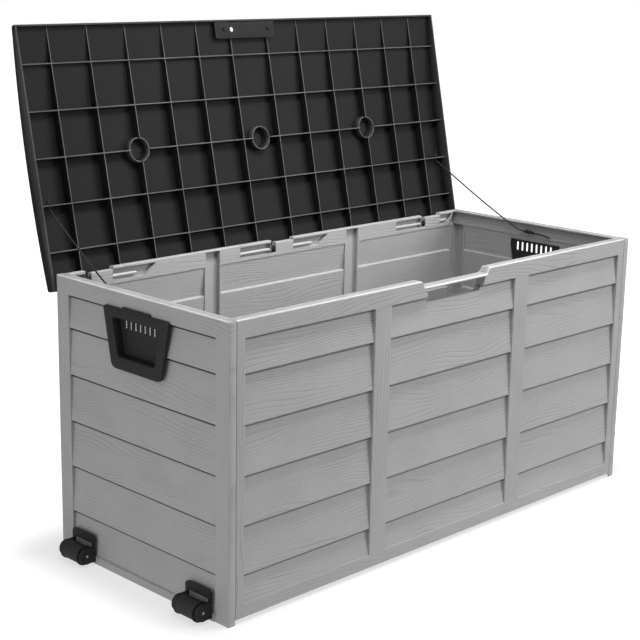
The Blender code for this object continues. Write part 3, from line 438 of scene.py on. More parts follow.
def cordMaterial():
    # braided sheath: two sets of slanting strands crossing round the cord
    made, tree, shader = startMaterial("braidedCord", 0.75)
    place = addNode(tree, "ShaderNodeAttribute", attribute_name="cordPlace")
    split = addNode(tree, "ShaderNodeSeparateXYZ", [(0, place.outputs["Vector"])])
    along = maths(tree, "MULTIPLY", split.outputs[0], 420.0)
    around = maths(tree, "MULTIPLY", split.outputs[1], 4.0)
    first = maths(tree, "SINE", maths(tree, "MULTIPLY", maths(tree, "ADD", along, around), 2 * math.pi))
    second = maths(tree, "SINE", maths(tree, "MULTIPLY", maths(tree, "SUBTRACT", along, around), 2 * math.pi))
    weave = maths(tree, "MAXIMUM", first, second)
    colour = mixColour(tree, maths(tree, "MULTIPLY_ADD", weave, 0.5, 0.5), (0.006, 0.006, 0.006), (0.022, 0.022, 0.022))
    tree.links.new(colour, shader.inputs["Base Color"])
    bump = addNode(tree, "ShaderNodeBump", [("Height", maths(tree, "MULTIPLY", weave, 0.0002))], in_Distance=1.0)
    tree.links.new(bump.outputs[0], shader.inputs["Normal"])
    return made


greyResin = greyResinMaterial(greyResinPlan)
charcoalResin = charcoalMaterial(charcoalPlan)
blackResin = blackMaterial("blackResin", (0.0085, 0.0085, 0.0087), (0.0050, 0.0050, 0.0052), 0.62, 600.0)
rollerResin = blackMaterial("rollerResin", (0.015, 0.015, 0.0155), (0.009, 0.009, 0.0092), 0.55, 400.0)
zincSteel = steelMaterial()
braidedCord = cordMaterial()
print("deck box: materials made")


# How near a grid line counts as on it, in metres.
onLine = 2e-5


# Wall panels: u runs along the wall, w inward from its outer face, z up.
wallPlan = {"halfLength": 0.550, "halfDepth": 0.2315, "height": 0.518, "skin": 0.003, "innerPlane": 0.012,
            "railZ": 0.4864, "endStile": 0.034, "nearBay": 0.1734, "farBay": 0.2146, "post": 0.015,
            "firstPlank": 0.0594, "plankPitch": 0.086, "topRecess": 0.008, "footRecess": 0.0018,
            "longFoot": 0.009, "longBayFoot": 0.034, "endStrip": 0.014, "stripProud": 0.0015,
            "rim": 0.020, "rearRim": 0.012, "edge": 0.0012, "plankEdge": 0.0010, "crest": 0.0022, "gap": 0.0003,
            "uStep": 0.012, "zStep": 0.0095, "longShadeStrength": 0.62, "endShadeStrength": 0.95}


def plankLines(plan, foot):
    lines = [plan["railZ"], plan["railZ"] - plan["firstPlank"]]
    lines += [lines[1] - plan["plankPitch"] * k for k in range(1, 5)]
    return np.array(lines + [foot])


def boardDepth(plan, lines, z):
    # each board leans from its deep top to its proud foot in a straight line, and its lower edge is rounded
    index = np.clip(np.searchsorted(-lines, -z, side="left") - 1, 0, len(lines) - 2)
    upper, lower = lines[index], lines[index + 1]
    share = np.clip((upper - z) / (upper - lower), 0, 1)
    depth = plan["topRecess"] + (plan["footRecess"] - plan["topRecess"]) * share
    return depth + edgeDrop(z - lower, plan["plankEdge"]) * (index < len(lines) - 2), index


def bayMask(bays, u):
    # 1 inside a bay, and the distance outside the nearest bay edge
    inside = np.zeros(u.shape, bool)
    nearest = np.full(u.shape, 1.0)
    number = np.zeros(u.shape)
    for order, (low, high) in enumerate(bays):
        within = (u > low + onLine) & (u < high - onLine)
        inside |= within
        number = np.where(within, order, number)
        nearest = np.minimum(nearest, np.minimum(np.abs(u - low), np.abs(u - high)))
    return inside, nearest, number


def wallLines(plan, bays, bayFoot):
    edge, small = plan["edge"], 0.0001
    along = []
    for low, high in bays:
        for place, side in ((low, 1), (high, -1)):
            along += [place - side * step for step in (edge, 0.6 * edge, 0.25 * edge, 0, 0.003, 0.0031)]
            along += [place + side * small, place + side * 0.0012]
    lines = plankLines(plan, bayFoot)
    up = []
    for line in lines[:-1]:
        up += [line + step for step in (0, 0.0002, 0.0005, 0.001, 0.003, 0.0031, 0.0038, -small, -0.0012, -0.0046, -0.0058)]
    up += [plan["railZ"] + step for step in (0.0003, 0.0007, 0.0012)]
    up += [bayFoot + step for step in (small, 0, -0.0003, -0.0008)] + [plan["railZ"] + 0.002]
    return along, up


def grainFor(plan, bays, lines, u, z, seed, inside):
    # boards carry their figure along u, uprights along z, and each piece of timber has its own seed
    _, index = boardDepth(plan, lines, z)
    _, _, number = bayMask(bays, u)
    rail = z >= plan["railZ"] - onLine
    foot = z <= lines[-1] + onLine
    board = inside & ~rail & ~foot
    flat = rail | foot
    own = np.where(board, 3.0 + index * 1.7 + number * 9.3, np.where(flat, 41.0 + foot * 5.0, 57.0 + np.round(u * 5)))
    own = own + seed
    first = np.where(board | flat, u, z) + own * 0.713
    second = np.where(board | flat, z, u)
    return np.stack([first, second, own], -1)


def wallShell(plan, side):
    # every station along the wall carries one closed profile: up the outer face, over the rim and down inside
    height, innerPlane, skin = plan["height"], side["innerPlane"], plan["skin"]
    bays, foot, bayFoot = side["bays"], side["foot"], side["bayFoot"]
    alongExtra, upExtra = wallLines(plan, bays, bayFoot)
    u = evenLines(-side["half"], side["half"], plan["uStep"], alongExtra + side["alongExtra"])
    crest, lip = plan["crest"], side["lip"]
    railTop, faceTop = plan["railZ"] + 0.002, height - crest
    z = evenLines(foot, faceTop, plan["zStep"], upExtra + side["upExtra"])
    lines = plankLines(plan, bayFoot)
    rimZ = side["rimHeight"](u)
    width = side["rimWidth"](u)
    scaleOut = (rimZ - crest - railTop) / (faceTop - railTop)
    scaleIn = (rimZ - lip - 0.0002 - railTop) / (faceTop - railTop)
    zOut = np.where(z[None, :] > railTop, railTop + (z[None, :] - railTop) * scaleOut[:, None], z[None, :])
    zIn = np.where(z[None, :] > railTop, railTop + (z[None, :] - railTop) * scaleIn[:, None], z[None, :])
    grid = np.repeat(u[:, None], len(z), 1)
    uOut, uIn = side["warp"](grid, zOut, True), side["warp"](grid, zIn, False)
    inside, nearest, _ = bayMask(bays, grid)
    board, _ = boardDepth(plan, lines, z[None, :] + 0 * grid)
    within = inside & (z[None, :] < plan["railZ"] - onLine) & (z[None, :] > bayFoot + onLine)
    upright = edgeDrop(nearest, plan["edge"]) * (z[None, :] < plan["railZ"]) * (z[None, :] > bayFoot)
    railEdge = edgeDrop(z[None, :] - plan["railZ"], plan["edge"]) * inside * (z[None, :] >= plan["railZ"] - onLine)
    footEdge = edgeDrop(bayFoot - z[None, :], 0.0008) * inside * (z[None, :] <= bayFoot + onLine)
    plain = np.maximum(np.maximum(upright * ~inside, railEdge), footEdge)
    below = inside & (z[None, :] <= bayFoot + onLine)
    plain = np.where(below, plain + side["stripDepth"], plain)
    wOut = np.where(within, board, plain)
    wOut = side["outer"](grid, zOut, wOut)
    boardIn, _ = boardDepth(plan, lines, z[None, :] - skin + 0 * grid)
    channel = np.where(nearest > 0.00305, skin, innerPlane)
    wIn = np.where(inside & (z[None, :] < plan["railZ"] - onLine), boardIn + skin, channel)
    wIn = np.where((z[None, :] >= plan["railZ"] - onLine), innerPlane, wIn)
    wIn = np.where(inside & (z[None, :] <= bayFoot + onLine), skin + side["stripDepth"] + 0.001, wIn)
    wIn = side["inner"](grid, zIn, wIn)
    n = len(u)
    rise = np.linspace(0, math.pi / 2, 5)
    top = wOut[:, -1:]
    column = lambda value: np.asarray(value).reshape(n, -1)
    arcW = top + crest * (1 - np.cos(rise))[None, :]
    arcZ = column(rimZ) - crest + crest * np.sin(rise)[None, :]
    flatW = top + crest + (column(width) - top - crest - 0.001) * np.array([[0.33, 0.66, 1.0]])
    flatZ = np.repeat(column(rimZ), 3, 1)
    fall = np.linspace(0, math.pi / 2, 3)[1:]
    lipW = column(width) - 0.001 + 0.001 * np.sin(fall)[None, :]
    lipZ = column(rimZ) - 0.001 + 0.001 * np.cos(fall)[None, :]
    backW = np.concatenate([column(width), wIn[:, -1:]], 1)
    backZ = np.repeat(column(rimZ) - lip, 2, 1)
    w = np.concatenate([wOut, arcW[:, 1:], flatW, lipW, backW, wIn[:, ::-1]], 1)
    zAll = np.concatenate([zOut, arcZ[:, 1:], flatZ, lipZ, backZ, zIn[:, ::-1]], 1)
    middle = np.repeat(u[:, None], w.shape[1] - 2 * len(z), 1)
    uAll = np.concatenate([uOut, middle, uIn[:, ::-1]], 1)
    w = np.where(np.abs(uAll) > side["half"] - side["corner"],
                 np.where(np.arange(w.shape[1])[None, :] < len(z) + 4,
                          np.maximum(w, edgeDrop(side["half"] - np.abs(uAll), side["corner"])), w), w)
    inPost = (np.abs(uAll) > side["half"] - 0.0033) & (np.arange(w.shape[1])[None, :] >= len(z) + 7)
    w = np.where(inPost & (side["postEdge"] > 0), w - edgeDrop(side["half"] - np.abs(uAll), 0.0009), w)
    # painted shade: the top few millimetres of each board, just under the proud foot of the board above, are darkened
    # towards near black in place of that overhang's shadow, less on the long walls
    deep = np.zeros(w.shape)
    gapBelow = np.min(np.where(lines[None, None, :-1] >= zOut[:, :, None] - 1e-5, lines[None, None, :-1] - zOut[:, :, None], 1.0), axis=2)
    shadeStrength = plan["longShadeStrength"] if side["half"] > 0.3 else plan["endShadeStrength"]
    shade = shadeStrength * np.clip((0.0058 - gapBelow) / 0.0012, 0, 1) * within
    deep[:, :len(z)] = shade
    # painted highlight: the rim's rounded outer edge, and more weakly the inner end of its flat top and its rounded
    # lip, are marked for lightening
    paintedRimHighlight = np.zeros(w.shape)
    paintedRimHighlight[:, len(z):len(z) + 4] = np.array([[0.5, 1.0, 1.0, 0.5]])
    paintedRimHighlight[:, len(z) + 6:len(z) + 9] = 0.35
    grain = grainFor(plan, bays, lines, uAll, zAll, side["seed"],
                     np.concatenate([inside, np.zeros(middle.shape, bool), inside[:, ::-1]], 1))
    columns = w.shape[1]
    quads = gridQuads(n, columns, closedColumns=True).reshape(n - 1, columns, 4)
    keep = np.ones((n - 1, columns), bool)
    tunnels = []
    for uLow, uHigh, zLow, zHigh in side["holes"]:
        i0, i1 = (nearestLine(u, value) for value in (uLow, uHigh))
        j0, j1 = (nearestLine(z, value) for value in (zLow, zHigh))
        keep[i0:i1, j0:j1] = False
        keep[i0:i1, columns - 1 - j1:columns - 1 - j0] = False
        ring = np.array(ringAround(i0, i1, j0, j1))
        outer = ring[:, 0] * columns + ring[:, 1]
        inner = ring[:, 0] * columns + columns - 1 - ring[:, 1]
        tunnels.append(bridgeRings(outer, inner))
    faces = np.concatenate([quads[keep]] + tunnels)
    caps = [list(range(columns)), list(range((n - 1) * columns, n * columns))[::-1]]
    points = side["carry"](uAll, w, zAll)
    return shell(points, faces, caps, crease=deep.ravel(), wear=paintedRimHighlight.ravel(), grainPlace=grain.reshape(-1, 3))


def longBays(plan):
    outer = plan["halfLength"] - plan["endStile"]
    return [(-outer, -plan["farBay"]), (-plan["nearBay"], plan["nearBay"]), (plan["farBay"], outer)]


def asGiven(u, z, w):
    return w


def step(value, start, end):
    # smooth step: 3t^2 - 2t^3 between two places
    t = np.clip((value - start) / (end - start), 0, 1)
    return t * t * (3 - 2 * t)


latchPlan = {"notchHalf": 0.0915, "drop": 0.012, "ramp": 0.0045, "windowTop": 0.0835, "windowFoot": 0.0770, "windowLine": 0.080,
             "windowLow": 0.4765, "windowHigh": 0.5030, "frame": 0.003, "barDepth": 0.0235}


def frontWall(plan, latch):
    half = plan["halfLength"] - plan["post"] - plan["gap"]
    rimHalf = plan["halfLength"] - plan["rim"] - plan["gap"]

    def rimHeight(u):
        return plan["height"] - latch["drop"] * (1 - step(np.abs(u), latch["notchHalf"] - latch["ramp"],
                                                          latch["notchHalf"] + latch["ramp"]))

    def rimWidth(u):
        bar = 1 - step(np.abs(u), latch["notchHalf"] - 0.003, latch["notchHalf"] + 0.001)
        return np.where(np.abs(u) > rimHalf, plan["skin"] + 0.0022, plan["rim"] + (latch["barDepth"] - plan["rim"]) * bar)

    def warp(u, z, outside):
        # the window's sides lean in towards its foot
        reach = np.interp(np.abs(u), [0.05, latch["windowLine"], 0.0890], [0, 1, 0])
        edge = np.interp(z, [latch["windowLow"], latch["windowLow"] + 0.006, latch["windowHigh"]],
                         [latch["windowFoot"] - 0.0035, latch["windowFoot"], latch["windowTop"]])
        edge = edge - latch["windowLine"]
        fade = np.interp(z, [latch["windowLow"] - 0.012, latch["windowLow"], latch["windowHigh"], latch["windowHigh"] + 0.012],
                         [0, 1, 1, 0])
        return u + np.sign(u) * reach * edge * fade

    def inner(u, z, w):
        thin = np.abs(u) > rimHalf - 0.0001
        w = np.where(thin, plan["skin"] + 0.0005, w)
        box = (np.abs(u) < latch["windowLine"] + latch["frame"]) & (z > latch["windowLow"] - latch["frame"]
                                                                    - onLine) & (z < latch["windowHigh"] + 0.002)
        return np.where(box, plan["rim"], w)

    extra = [side * (latch["notchHalf"] + offset) for side in (-1, 1) for offset in np.linspace(-0.0045, 0.0045, 9)]
    extra += [side * value for side in (-1, 1) for value in (0.080, 0.0802, 0.083, 0.0831, rimHalf, rimHalf + 0.0001, half, half - 0.0004,
                                                              half - 0.0009, half - 0.0015, 0.0787, 0.0775)]
    railTop, faceTop = plan["railZ"] + 0.002, plan["height"] - plan["crest"]
    low = plan["height"] - latch["drop"] - plan["crest"]
    upExtra = [latch["windowLow"], latch["windowLow"] - latch["frame"], latch["windowLow"] - latch["frame"] - 0.0001,
               railTop + (latch["windowHigh"] - railTop) * (faceTop - railTop) / (low - railTop), latch["windowLow"] + 0.002,
               latch["windowLow"] + 0.004, latch["windowLow"] + 0.006]
    window = upExtra[3]
    return {"half": half, "bays": longBays(plan), "foot": plan["longFoot"], "bayFoot": plan["longBayFoot"], "stripDepth": 0.0,
            "alongExtra": extra, "upExtra": upExtra, "innerPlane": plan["innerPlane"], "lip": 0.003, "corner": 0.0015, "postEdge": 0,
            "rimHeight": rimHeight, "rimWidth": rimWidth, "warp": warp, "outer": asGiven, "inner": inner, "seed": 0.0,
            "holes": [(-latch["windowLine"], latch["windowLine"], latch["windowLow"], window)],
            "carry": lambda u, w, z: np.stack([u, w - plan["halfDepth"], z], -1)}


hingePlan = {"shift": -0.0026, "pitch": 0.4553, "block": 0.047, "blockDrop": 0.0052, "leftPocket": 0.097, "rightPocket": 0.100,
             "limit": 0.5213, "slant": 0.024, "pocketTop": 0.5133, "pocketFloor": 0.4923, "knuckleWidth": 0.0108, "clearance": 0.001,
             "pinRadius": 0.0032, "knuckleRadius": 0.0062, "axisY": 0.2249, "axisZ": 0.4997, "angle": 102.2}


def hingeStations(plan):
    for index in range(3):
        middle = plan["shift"] + plan["pitch"] * (index - 1)
        left, right = middle - plan["block"] / 2, middle + plan["block"] / 2
        pocketLeft, pocketRight = max(left - plan["leftPocket"], -plan["limit"]), min(right + plan["rightPocket"], plan["limit"])
        yield {"left": left, "right": right, "pocketLeft": pocketLeft, "pocketRight": pocketRight,
               "notch": left - plan["knuckleWidth"] - 2 * plan["clearance"], "slant": min(plan["slant"], (pocketRight - right) / 3)}


def rearWall(plan, hinge):
    half = plan["halfLength"] - plan["post"] - plan["gap"]
    rimHalf = plan["halfLength"] - plan["rim"] - plan["gap"]
    stations = list(hingeStations(hinge))
    ramp = 0.0012

    def rimHeight(u):
        x = -u
        top = np.full(x.shape, plan["height"])
        for s in stations:
            block = step(x, s["left"] - ramp, s["left"]) * (1 - step(x, s["right"], s["right"] + ramp))
            notch = step(x, s["notch"] - ramp, s["notch"]) * (1 - step(x, s["left"] - ramp, s["left"]))
            top = top - block * hinge["blockDrop"] - notch * (plan["height"] - hinge["pocketFloor"])
        return top

    def rimWidth(u):
        return np.where(np.abs(u) > rimHalf, plan["skin"] + 0.0022, plan["rearRim"])

    def warp(u, z, outside):
        # a pocket's right end leans: its edge moves left by the slant as z falls to the pocket's floor
        if outside:
            return u
        moved = u.copy()
        for s in stations:
            share = np.clip((hinge["pocketTop"] - z) / (hinge["pocketTop"] - hinge["pocketFloor"]), 0, 1)
            fade = np.clip((z - hinge["pocketFloor"] + 0.006) / 0.006, 0, 1)
            edge = -s["pocketRight"]
            reach = np.interp(u, [edge - 0.02, edge, edge + 0.045], [0, 1, 0])
            moved = moved + s["slant"] * share * fade * reach
        return moved

    def inner(u, z, w):
        x = -u
        pocket = np.zeros(u.shape, bool)
        for s in stations:
            pocket |= (x > s["pocketLeft"] - onLine) & (x < s["notch"] + onLine)
            pocket |= (x > s["right"] + onLine) & (x < s["pocketRight"] + onLine)
        pocket &= (z > hinge["pocketFloor"] - onLine) & (z < hinge["pocketTop"] + onLine)
        w = np.where(pocket, plan["skin"], w)
        channel = (np.abs(np.abs(u) - 0.194) < 0.0206 - 0.0030) & (z >= plan["railZ"] - onLine) & (z < 0.5150)
        w = np.where(channel, plan["skin"], w)
        return np.where(np.abs(u) > rimHalf - 0.0001, plan["skin"] + 0.0005, w)

    extra = [side * value for side in (-1, 1) for value in (rimHalf, rimHalf + 0.0001, half, half - 0.0004, half - 0.0009, half - 0.0015,
                                                             0.194 - 0.0176, 0.194 - 0.0175, 0.194 + 0.0176, 0.194 + 0.0175)]
    for s in stations:
        for value in (s["pocketLeft"], s["notch"], s["left"], s["right"], s["pocketRight"]):
            extra += [-value, -value + 0.0001, -value - 0.0001, -value + ramp, -value - ramp]
    railTop, faceTop, lip = plan["railZ"] + 0.002, plan["height"] - plan["crest"], 0.0022
    scale = (plan["height"] - lip - 0.0002 - railTop) / (faceTop - railTop)
    upExtra = [railTop + (value - railTop) / scale for value in (hinge["pocketFloor"], hinge["pocketFloor"] - 0.0001, hinge["pocketTop"],
                                                                  hinge["pocketTop"] + 0.0001, 0.5149, 0.5150)]
    return {"half": half, "bays": longBays(plan), "foot": plan["longFoot"], "bayFoot": plan["longBayFoot"], "stripDepth": 0.0,
            "alongExtra": extra, "upExtra": upExtra, "innerPlane": plan["innerPlane"], "lip": lip, "corner": 0.0015, "postEdge": 0,
            "rimHeight": rimHeight, "rimWidth": rimWidth, "warp": warp, "outer": asGiven, "inner": inner, "seed": 100.0, "holes": [],
            "carry": lambda u, w, z: np.stack([-u, plan["halfDepth"] - w, z], -1)}


handlePlan = {"topHalf": 0.0885, "footHalf": 0.067, "top": 0.4905, "height": 0.107, "proud": 0.0065, "cupDepth": 0.0125,
              "cupTopHalf": 0.063, "cupFootHalf": 0.0497, "cupTop": 0.473, "cupHeight": 0.0665, "wall": 0.003, "lipHalf": 0.037,
              "lipRise": 0.004, "slots": 8, "pitch": 0.0127, "slotWidth": 0.0060, "slotHigh": 0.4722, "slotLow": 0.4525, "holeLine": 0.060,
              "floorFront": 0.0098, "floorBack": 0.0122, "floorHalf": 0.0585}


def endWall(plan, handle, side):
    half, bay = plan["halfDepth"], plan["halfDepth"] - plan["endStile"]
    grow = handle["wall"] + plan["gap"]
    high, low = handle["cupTop"] + grow, handle["cupTop"] - handle["cupHeight"] - grow

    def warp(u, z, outside):
        reach = np.interp(np.abs(u), [0.02, handle["holeLine"], 0.110], [0, 1, 0])
        edge = np.interp(z, [low, high], [handle["cupFootHalf"], handle["cupTopHalf"]]) + grow - handle["holeLine"]
        fade = np.interp(z, [low - 0.03, low, high, high + 0.012], [0, 1, 1, 0])
        return u + np.sign(u) * reach * edge * fade

    def rimWidth(u):
        return np.where(np.abs(u) > half - 0.0033, plan["post"], plan["rim"])

    def inner(u, z, w):
        post = np.abs(u) > half - 0.0033
        w = np.where(post, plan["post"], w)
        seat = (np.abs(u) < 0.0605) & (z > low - 0.001) & (z < high + 0.001)
        return np.where(seat, np.minimum(w, 0.0118), w)

    extra = [s * value for s in (-1, 1) for value in (half - 0.0033, half - 0.0034, half - 0.002, half - 0.0014, half - 0.0008,
                                                      half - 0.0003,
                                                       handle["holeLine"], 0.0605, 0.0606, 0.05, 0.07, 0.08)]
    if side > 0:
        carry = lambda u, w, z: np.stack([plan["halfLength"] - w, u, z], -1)
    else:
        carry = lambda u, w, z: np.stack([w - plan["halfLength"], -u, z], -1)
    return {"half": half, "bays": [(-bay, bay)], "foot": 0.0, "bayFoot": plan["endStrip"], "stripDepth": -plan["stripProud"],
            "alongExtra": extra, "upExtra": [high, low], "innerPlane": plan["innerPlane"], "lip": 0.003, "corner": 0.002, "postEdge": 1,
            "rimHeight": lambda u: np.full(u.shape, plan["height"]), "rimWidth": rimWidth, "warp": warp, "outer": asGiven, "inner": inner,
            "seed": 200.0 + 50.0 * side, "holes": [(-handle["holeLine"], handle["holeLine"], low, high)], "carry": carry}


for panelName, panelNode, panelSide in (("frontWallPanel", "front_panel", frontWall(wallPlan, latchPlan)),
                                        ("rearWallPanel", "rear_panel", rearWall(wallPlan, hingePlan)),
                                        ("leftEndPanel", "left_end_panel", endWall(wallPlan, handlePlan, -1)),
                                        ("rightEndPanel", "right_end_panel", endWall(wallPlan, handlePlan, 1))):
    makePiece(panelName, [wallShell(wallPlan, panelSide)], greyResin, "box", [panelNode])
print("deck box: walls made")


# Lid, worked out shut and then carried open about the hinge line.
lidPlan = {"half": 0.554, "front": -0.2358, "rear": 0.2368, "mid": 0.0005, "skirt": 0.510, "frontEdge": 0.5228,
           "rearEdge": 0.533, "crown": 0.013, "wall": 0.003,
           "tip": 0.5195, "rib": 0.0022, "longPitch": 0.0838, "crossFirst": 0.049, "crossPitch": 0.0866, "bossX": 0.310,
           "bossRadius": 0.024,
           "bossBore": 0.0212, "bossShort": 0.004, "corner": 0.004, "step": 0.011,
           "slot": (-0.0545, -0.0295, -0.223, -0.211)}


def openLid(points):
    # turn about the hinge line by the open angle, front edge up and over to the back
    angle = -math.radians(hingePlan["angle"])
    points = np.asarray(points, float)
    y, z = points[..., 1] - hingePlan["axisY"], points[..., 2] - hingePlan["axisZ"]
    return np.stack([points[..., 0], hingePlan["axisY"] + y * math.cos(angle) - z * math.sin(angle),
                     hingePlan["axisZ"] + y * math.sin(angle) + z * math.cos(angle)], -1)


def openedShell(part):
    part["points"] = openLid(part["points"])
    return part


def lidDome(plan, y):
    # parabola over a line that rises to the back: edge + crown (1 - s^2)
    share = 2 * (y - plan["mid"]) / (plan["rear"] - plan["front"])
    edge = plan["frontEdge"] + (plan["rearEdge"] - plan["frontEdge"]) * (1 + share) / 2
    return edge + plan["crown"] * (1 - share * share)


def ribProfile(distance, tipZ, baseZ):
    # across one rib: its tip is flat, rounded at both corners, and its sides fall to the panel
    distance = np.abs(distance)
    return np.where(distance < 0.00085, tipZ, np.where(distance < 0.00115, tipZ + 0.0003, baseZ))


def lidShells(plan):
    half, wall, radius = plan["half"], plan["wall"], plan["corner"]
    longRibs = plan["mid"] + plan["longPitch"] * (np.arange(5) - 2)
    crossRibs = np.concatenate([-(plan["crossFirst"] + plan["crossPitch"] * np.arange(6)),
                                plan["crossFirst"] + plan["crossPitch"] * np.arange(6)])
    bosses = np.array([-plan["bossX"], 0.0, plan["bossX"]])
    ribSteps = np.array([-0.0013, -0.0011, -0.0008, 0.0008, 0.0011, 0.0013])
    rounding = np.array([0, 0.0003, 0.0008, 0.0016, 0.0027, 0.004])
    cut = plan["bossRadius"] - 0.0014
    xExtra = np.concatenate([(crossRibs[:, None] + ribSteps).ravel(), half - rounding, rounding - half,
                             [half - wall, wall - half, half - wall - 0.0001, wall - half + 0.0001],
                             (bosses[:, None] + np.array([-cut, -cut - 0.0001, cut, cut + 0.0001])).ravel()])
    slotLeft, slotRight, slotNear, slotFar = plan["slot"]
    x = evenLines(-half, half, plan["step"], list(xExtra) + [slotLeft, slotRight])
    yExtra = np.concatenate([(longRibs[:, None] + ribSteps).ravel(), plan["mid"] + np.array([-cut, -cut - 0.0001, cut, cut + 0.0001])])
    yIn = evenLines(plan["front"] + wall, plan["rear"] - wall, plan["step"], list(yExtra) + [slotNear, slotFar])
    yOut = evenLines(plan["front"], plan["rear"], plan["step"],
                     list(plan["front"] + rounding) + list(plan["rear"] - rounding) + [slotNear, slotFar])
    yIn, yOut = (lines[(lines < slotNear + 1e-6) | (lines > slotFar - 1e-6)] for lines in (yIn, yOut))
    n = len(x)
    endFall = edgeDrop(half - np.abs(x), radius)[:, None]
    zOut = lidDome(plan, yOut)[None, :] - edgeDrop(np.minimum(yOut - plan["front"], plan["rear"] - yOut), radius)[None, :] - endFall
    base = lidDome(plan, yIn)[None, :] - wall + 0 * x[:, None]
    zLong = np.min(np.stack([ribProfile(yIn[None, :] - rib + 0 * x[:, None], plan["tip"], base) for rib in longRibs]), 0)
    zCross = np.min(np.stack([ribProfile(x[:, None] - rib + 0 * yIn[None, :], plan["tip"] + 0.0002, base) for rib in crossRibs]), 0)
    zIn = np.minimum(zLong, zCross)
    # painted highlight: the rib tips are marked for lightening, and the solid end walls and the skirts get a weaker
    # mark
    tip = (zIn < plan["tip"] + 0.0004).astype(float)
    for boss in bosses:
        inside = np.hypot(x[:, None] - boss, yIn[None, :] - plan["mid"]) < cut + 0.00005
        zIn = np.where(inside, base, zIn)
        tip = np.where(inside, 0.0, tip)
    solid = (np.abs(x) > half - wall - onLine)[:, None]
    zIn = np.where(solid, plan["skirt"], zIn)
    tip = np.where(solid, 0.6, tip)
    ones = np.ones((n, 1))
    skirt, frontTop, rearTop = plan["skirt"], zOut[:, :1], zOut[:, -1:]
    y = np.concatenate([ones * plan["front"], ones * plan["front"], ones * yOut[None, :], ones * plan["rear"], ones * plan["rear"],
                        ones * (plan["rear"] - wall), ones * yIn[None, ::-1], ones * (plan["front"] + wall)], 1)
    z = np.concatenate([ones * skirt, (skirt + frontTop) / 2, zOut, (skirt + rearTop) / 2, ones * skirt,
                        ones * (skirt - 0.00001), zIn[:, ::-1],
                        ones * (skirt - 0.00001)], 1)
    marks = np.concatenate([ones * 0.5, np.zeros((n, len(yOut) + 2)), ones * 0.5, ones * 0.5, tip[:, ::-1], ones * 0.5], 1)
    points = np.stack([np.repeat(x[:, None], y.shape[1], 1), y, z], -1)
    columns = y.shape[1]
    caps = [list(range(columns)), list(range((n - 1) * columns, n * columns))[::-1]]
    quads = gridQuads(n, columns, closedColumns=True).reshape(n - 1, columns, 4)
    keep = np.ones((n - 1, columns), bool)
    i0, i1 = (nearestLine(x, value) for value in (slotLeft, slotRight))
    outer = 2 + nearestLine(yOut, slotNear)
    inner = 2 + len(yOut) + 3 + len(yIn) - 1 - nearestLine(yIn, slotNear)
    keep[i0:i1, outer] = False
    keep[i0:i1, inner - 1] = False
    ring = np.array(ringAround(i0, i1, 0, 1))
    outside, within = ring[:, 0] * columns + outer + ring[:, 1], ring[:, 0] * columns + inner - ring[:, 1]
    parts = [shell(points, np.concatenate([quads[keep], bridgeRings(outside, within)]), caps, tip=marks.ravel())]
    for boss in bosses:
        top, low = lidDome(plan, plan["mid"]) - wall + 0.001, plan["tip"] + plan["bossShort"]
        ring = [(plan["bossBore"], top), (plan["bossBore"] + 0.0003, low + 0.0004), (plan["bossBore"] + 0.0008, low),
                (plan["bossRadius"] - 0.0008, low),
                (plan["bossRadius"] - 0.0003, low + 0.0004), (plan["bossRadius"], top)]
        made = turnedRing(ring, "Z", (boss, plan["mid"], 0), 64)
        # painted highlight on the boss ends
        made["values"]["tip"] = (made["points"][:, 2] < low + 0.0005).astype(float) * 0.9
        parts.append(made)
        inner = [(0.0150, top), (0.0150, top - 0.0045), (0.0162, top - 0.0045), (0.0162, top)]
        parts.append(turnedRing(inner, "Z", (boss, plan["mid"], 0), 48))
    for s in hingeStations(hingePlan):
        high = s["left"] - hingePlan["clearance"]
        low = high - hingePlan["knuckleWidth"]
        bore, outer = hingePlan["pinRadius"] + 0.0003, hingePlan["knuckleRadius"]
        eye = [(bore, low), (outer - 0.0006, low), (outer, low + 0.0006), (outer, high - 0.0006), (outer - 0.0006, high), (bore, high)]
        parts.append(turnedRing(eye, "X", (0, hingePlan["axisY"], hingePlan["axisZ"]), 40))
        armTop = float(lidDome(plan, np.array(hingePlan["axisY"]))) - wall + 0.001
        parts.append(roundedBlock((low, hingePlan["axisY"] - 0.005, hingePlan["axisZ"] + 0.0034),
                                  (high, hingePlan["axisY"] + 0.005, armTop), 0.0012))
    return [openedShell(part) for part in parts]


makePiece("lidPanel", lidShells(lidPlan), charcoalResin, "lid", ["lid_panel"], sharp=28.0)
print("deck box: lid made")


# Padlock plate under the lid's front edge, with its two screws.
platePlan = {"left": -0.0915, "right": 0.0645, "near": -0.2312, "far": -0.1997, "low": 0.5125, "high": 0.5155, "corner": 0.006,
             "edge": 0.0007,
             "holeX": -0.0485, "holeY": -0.217, "holeRadius": 0.005, "screws": (-0.0700, 0.0480), "headRadius": 0.0040, "head": 0.0018}


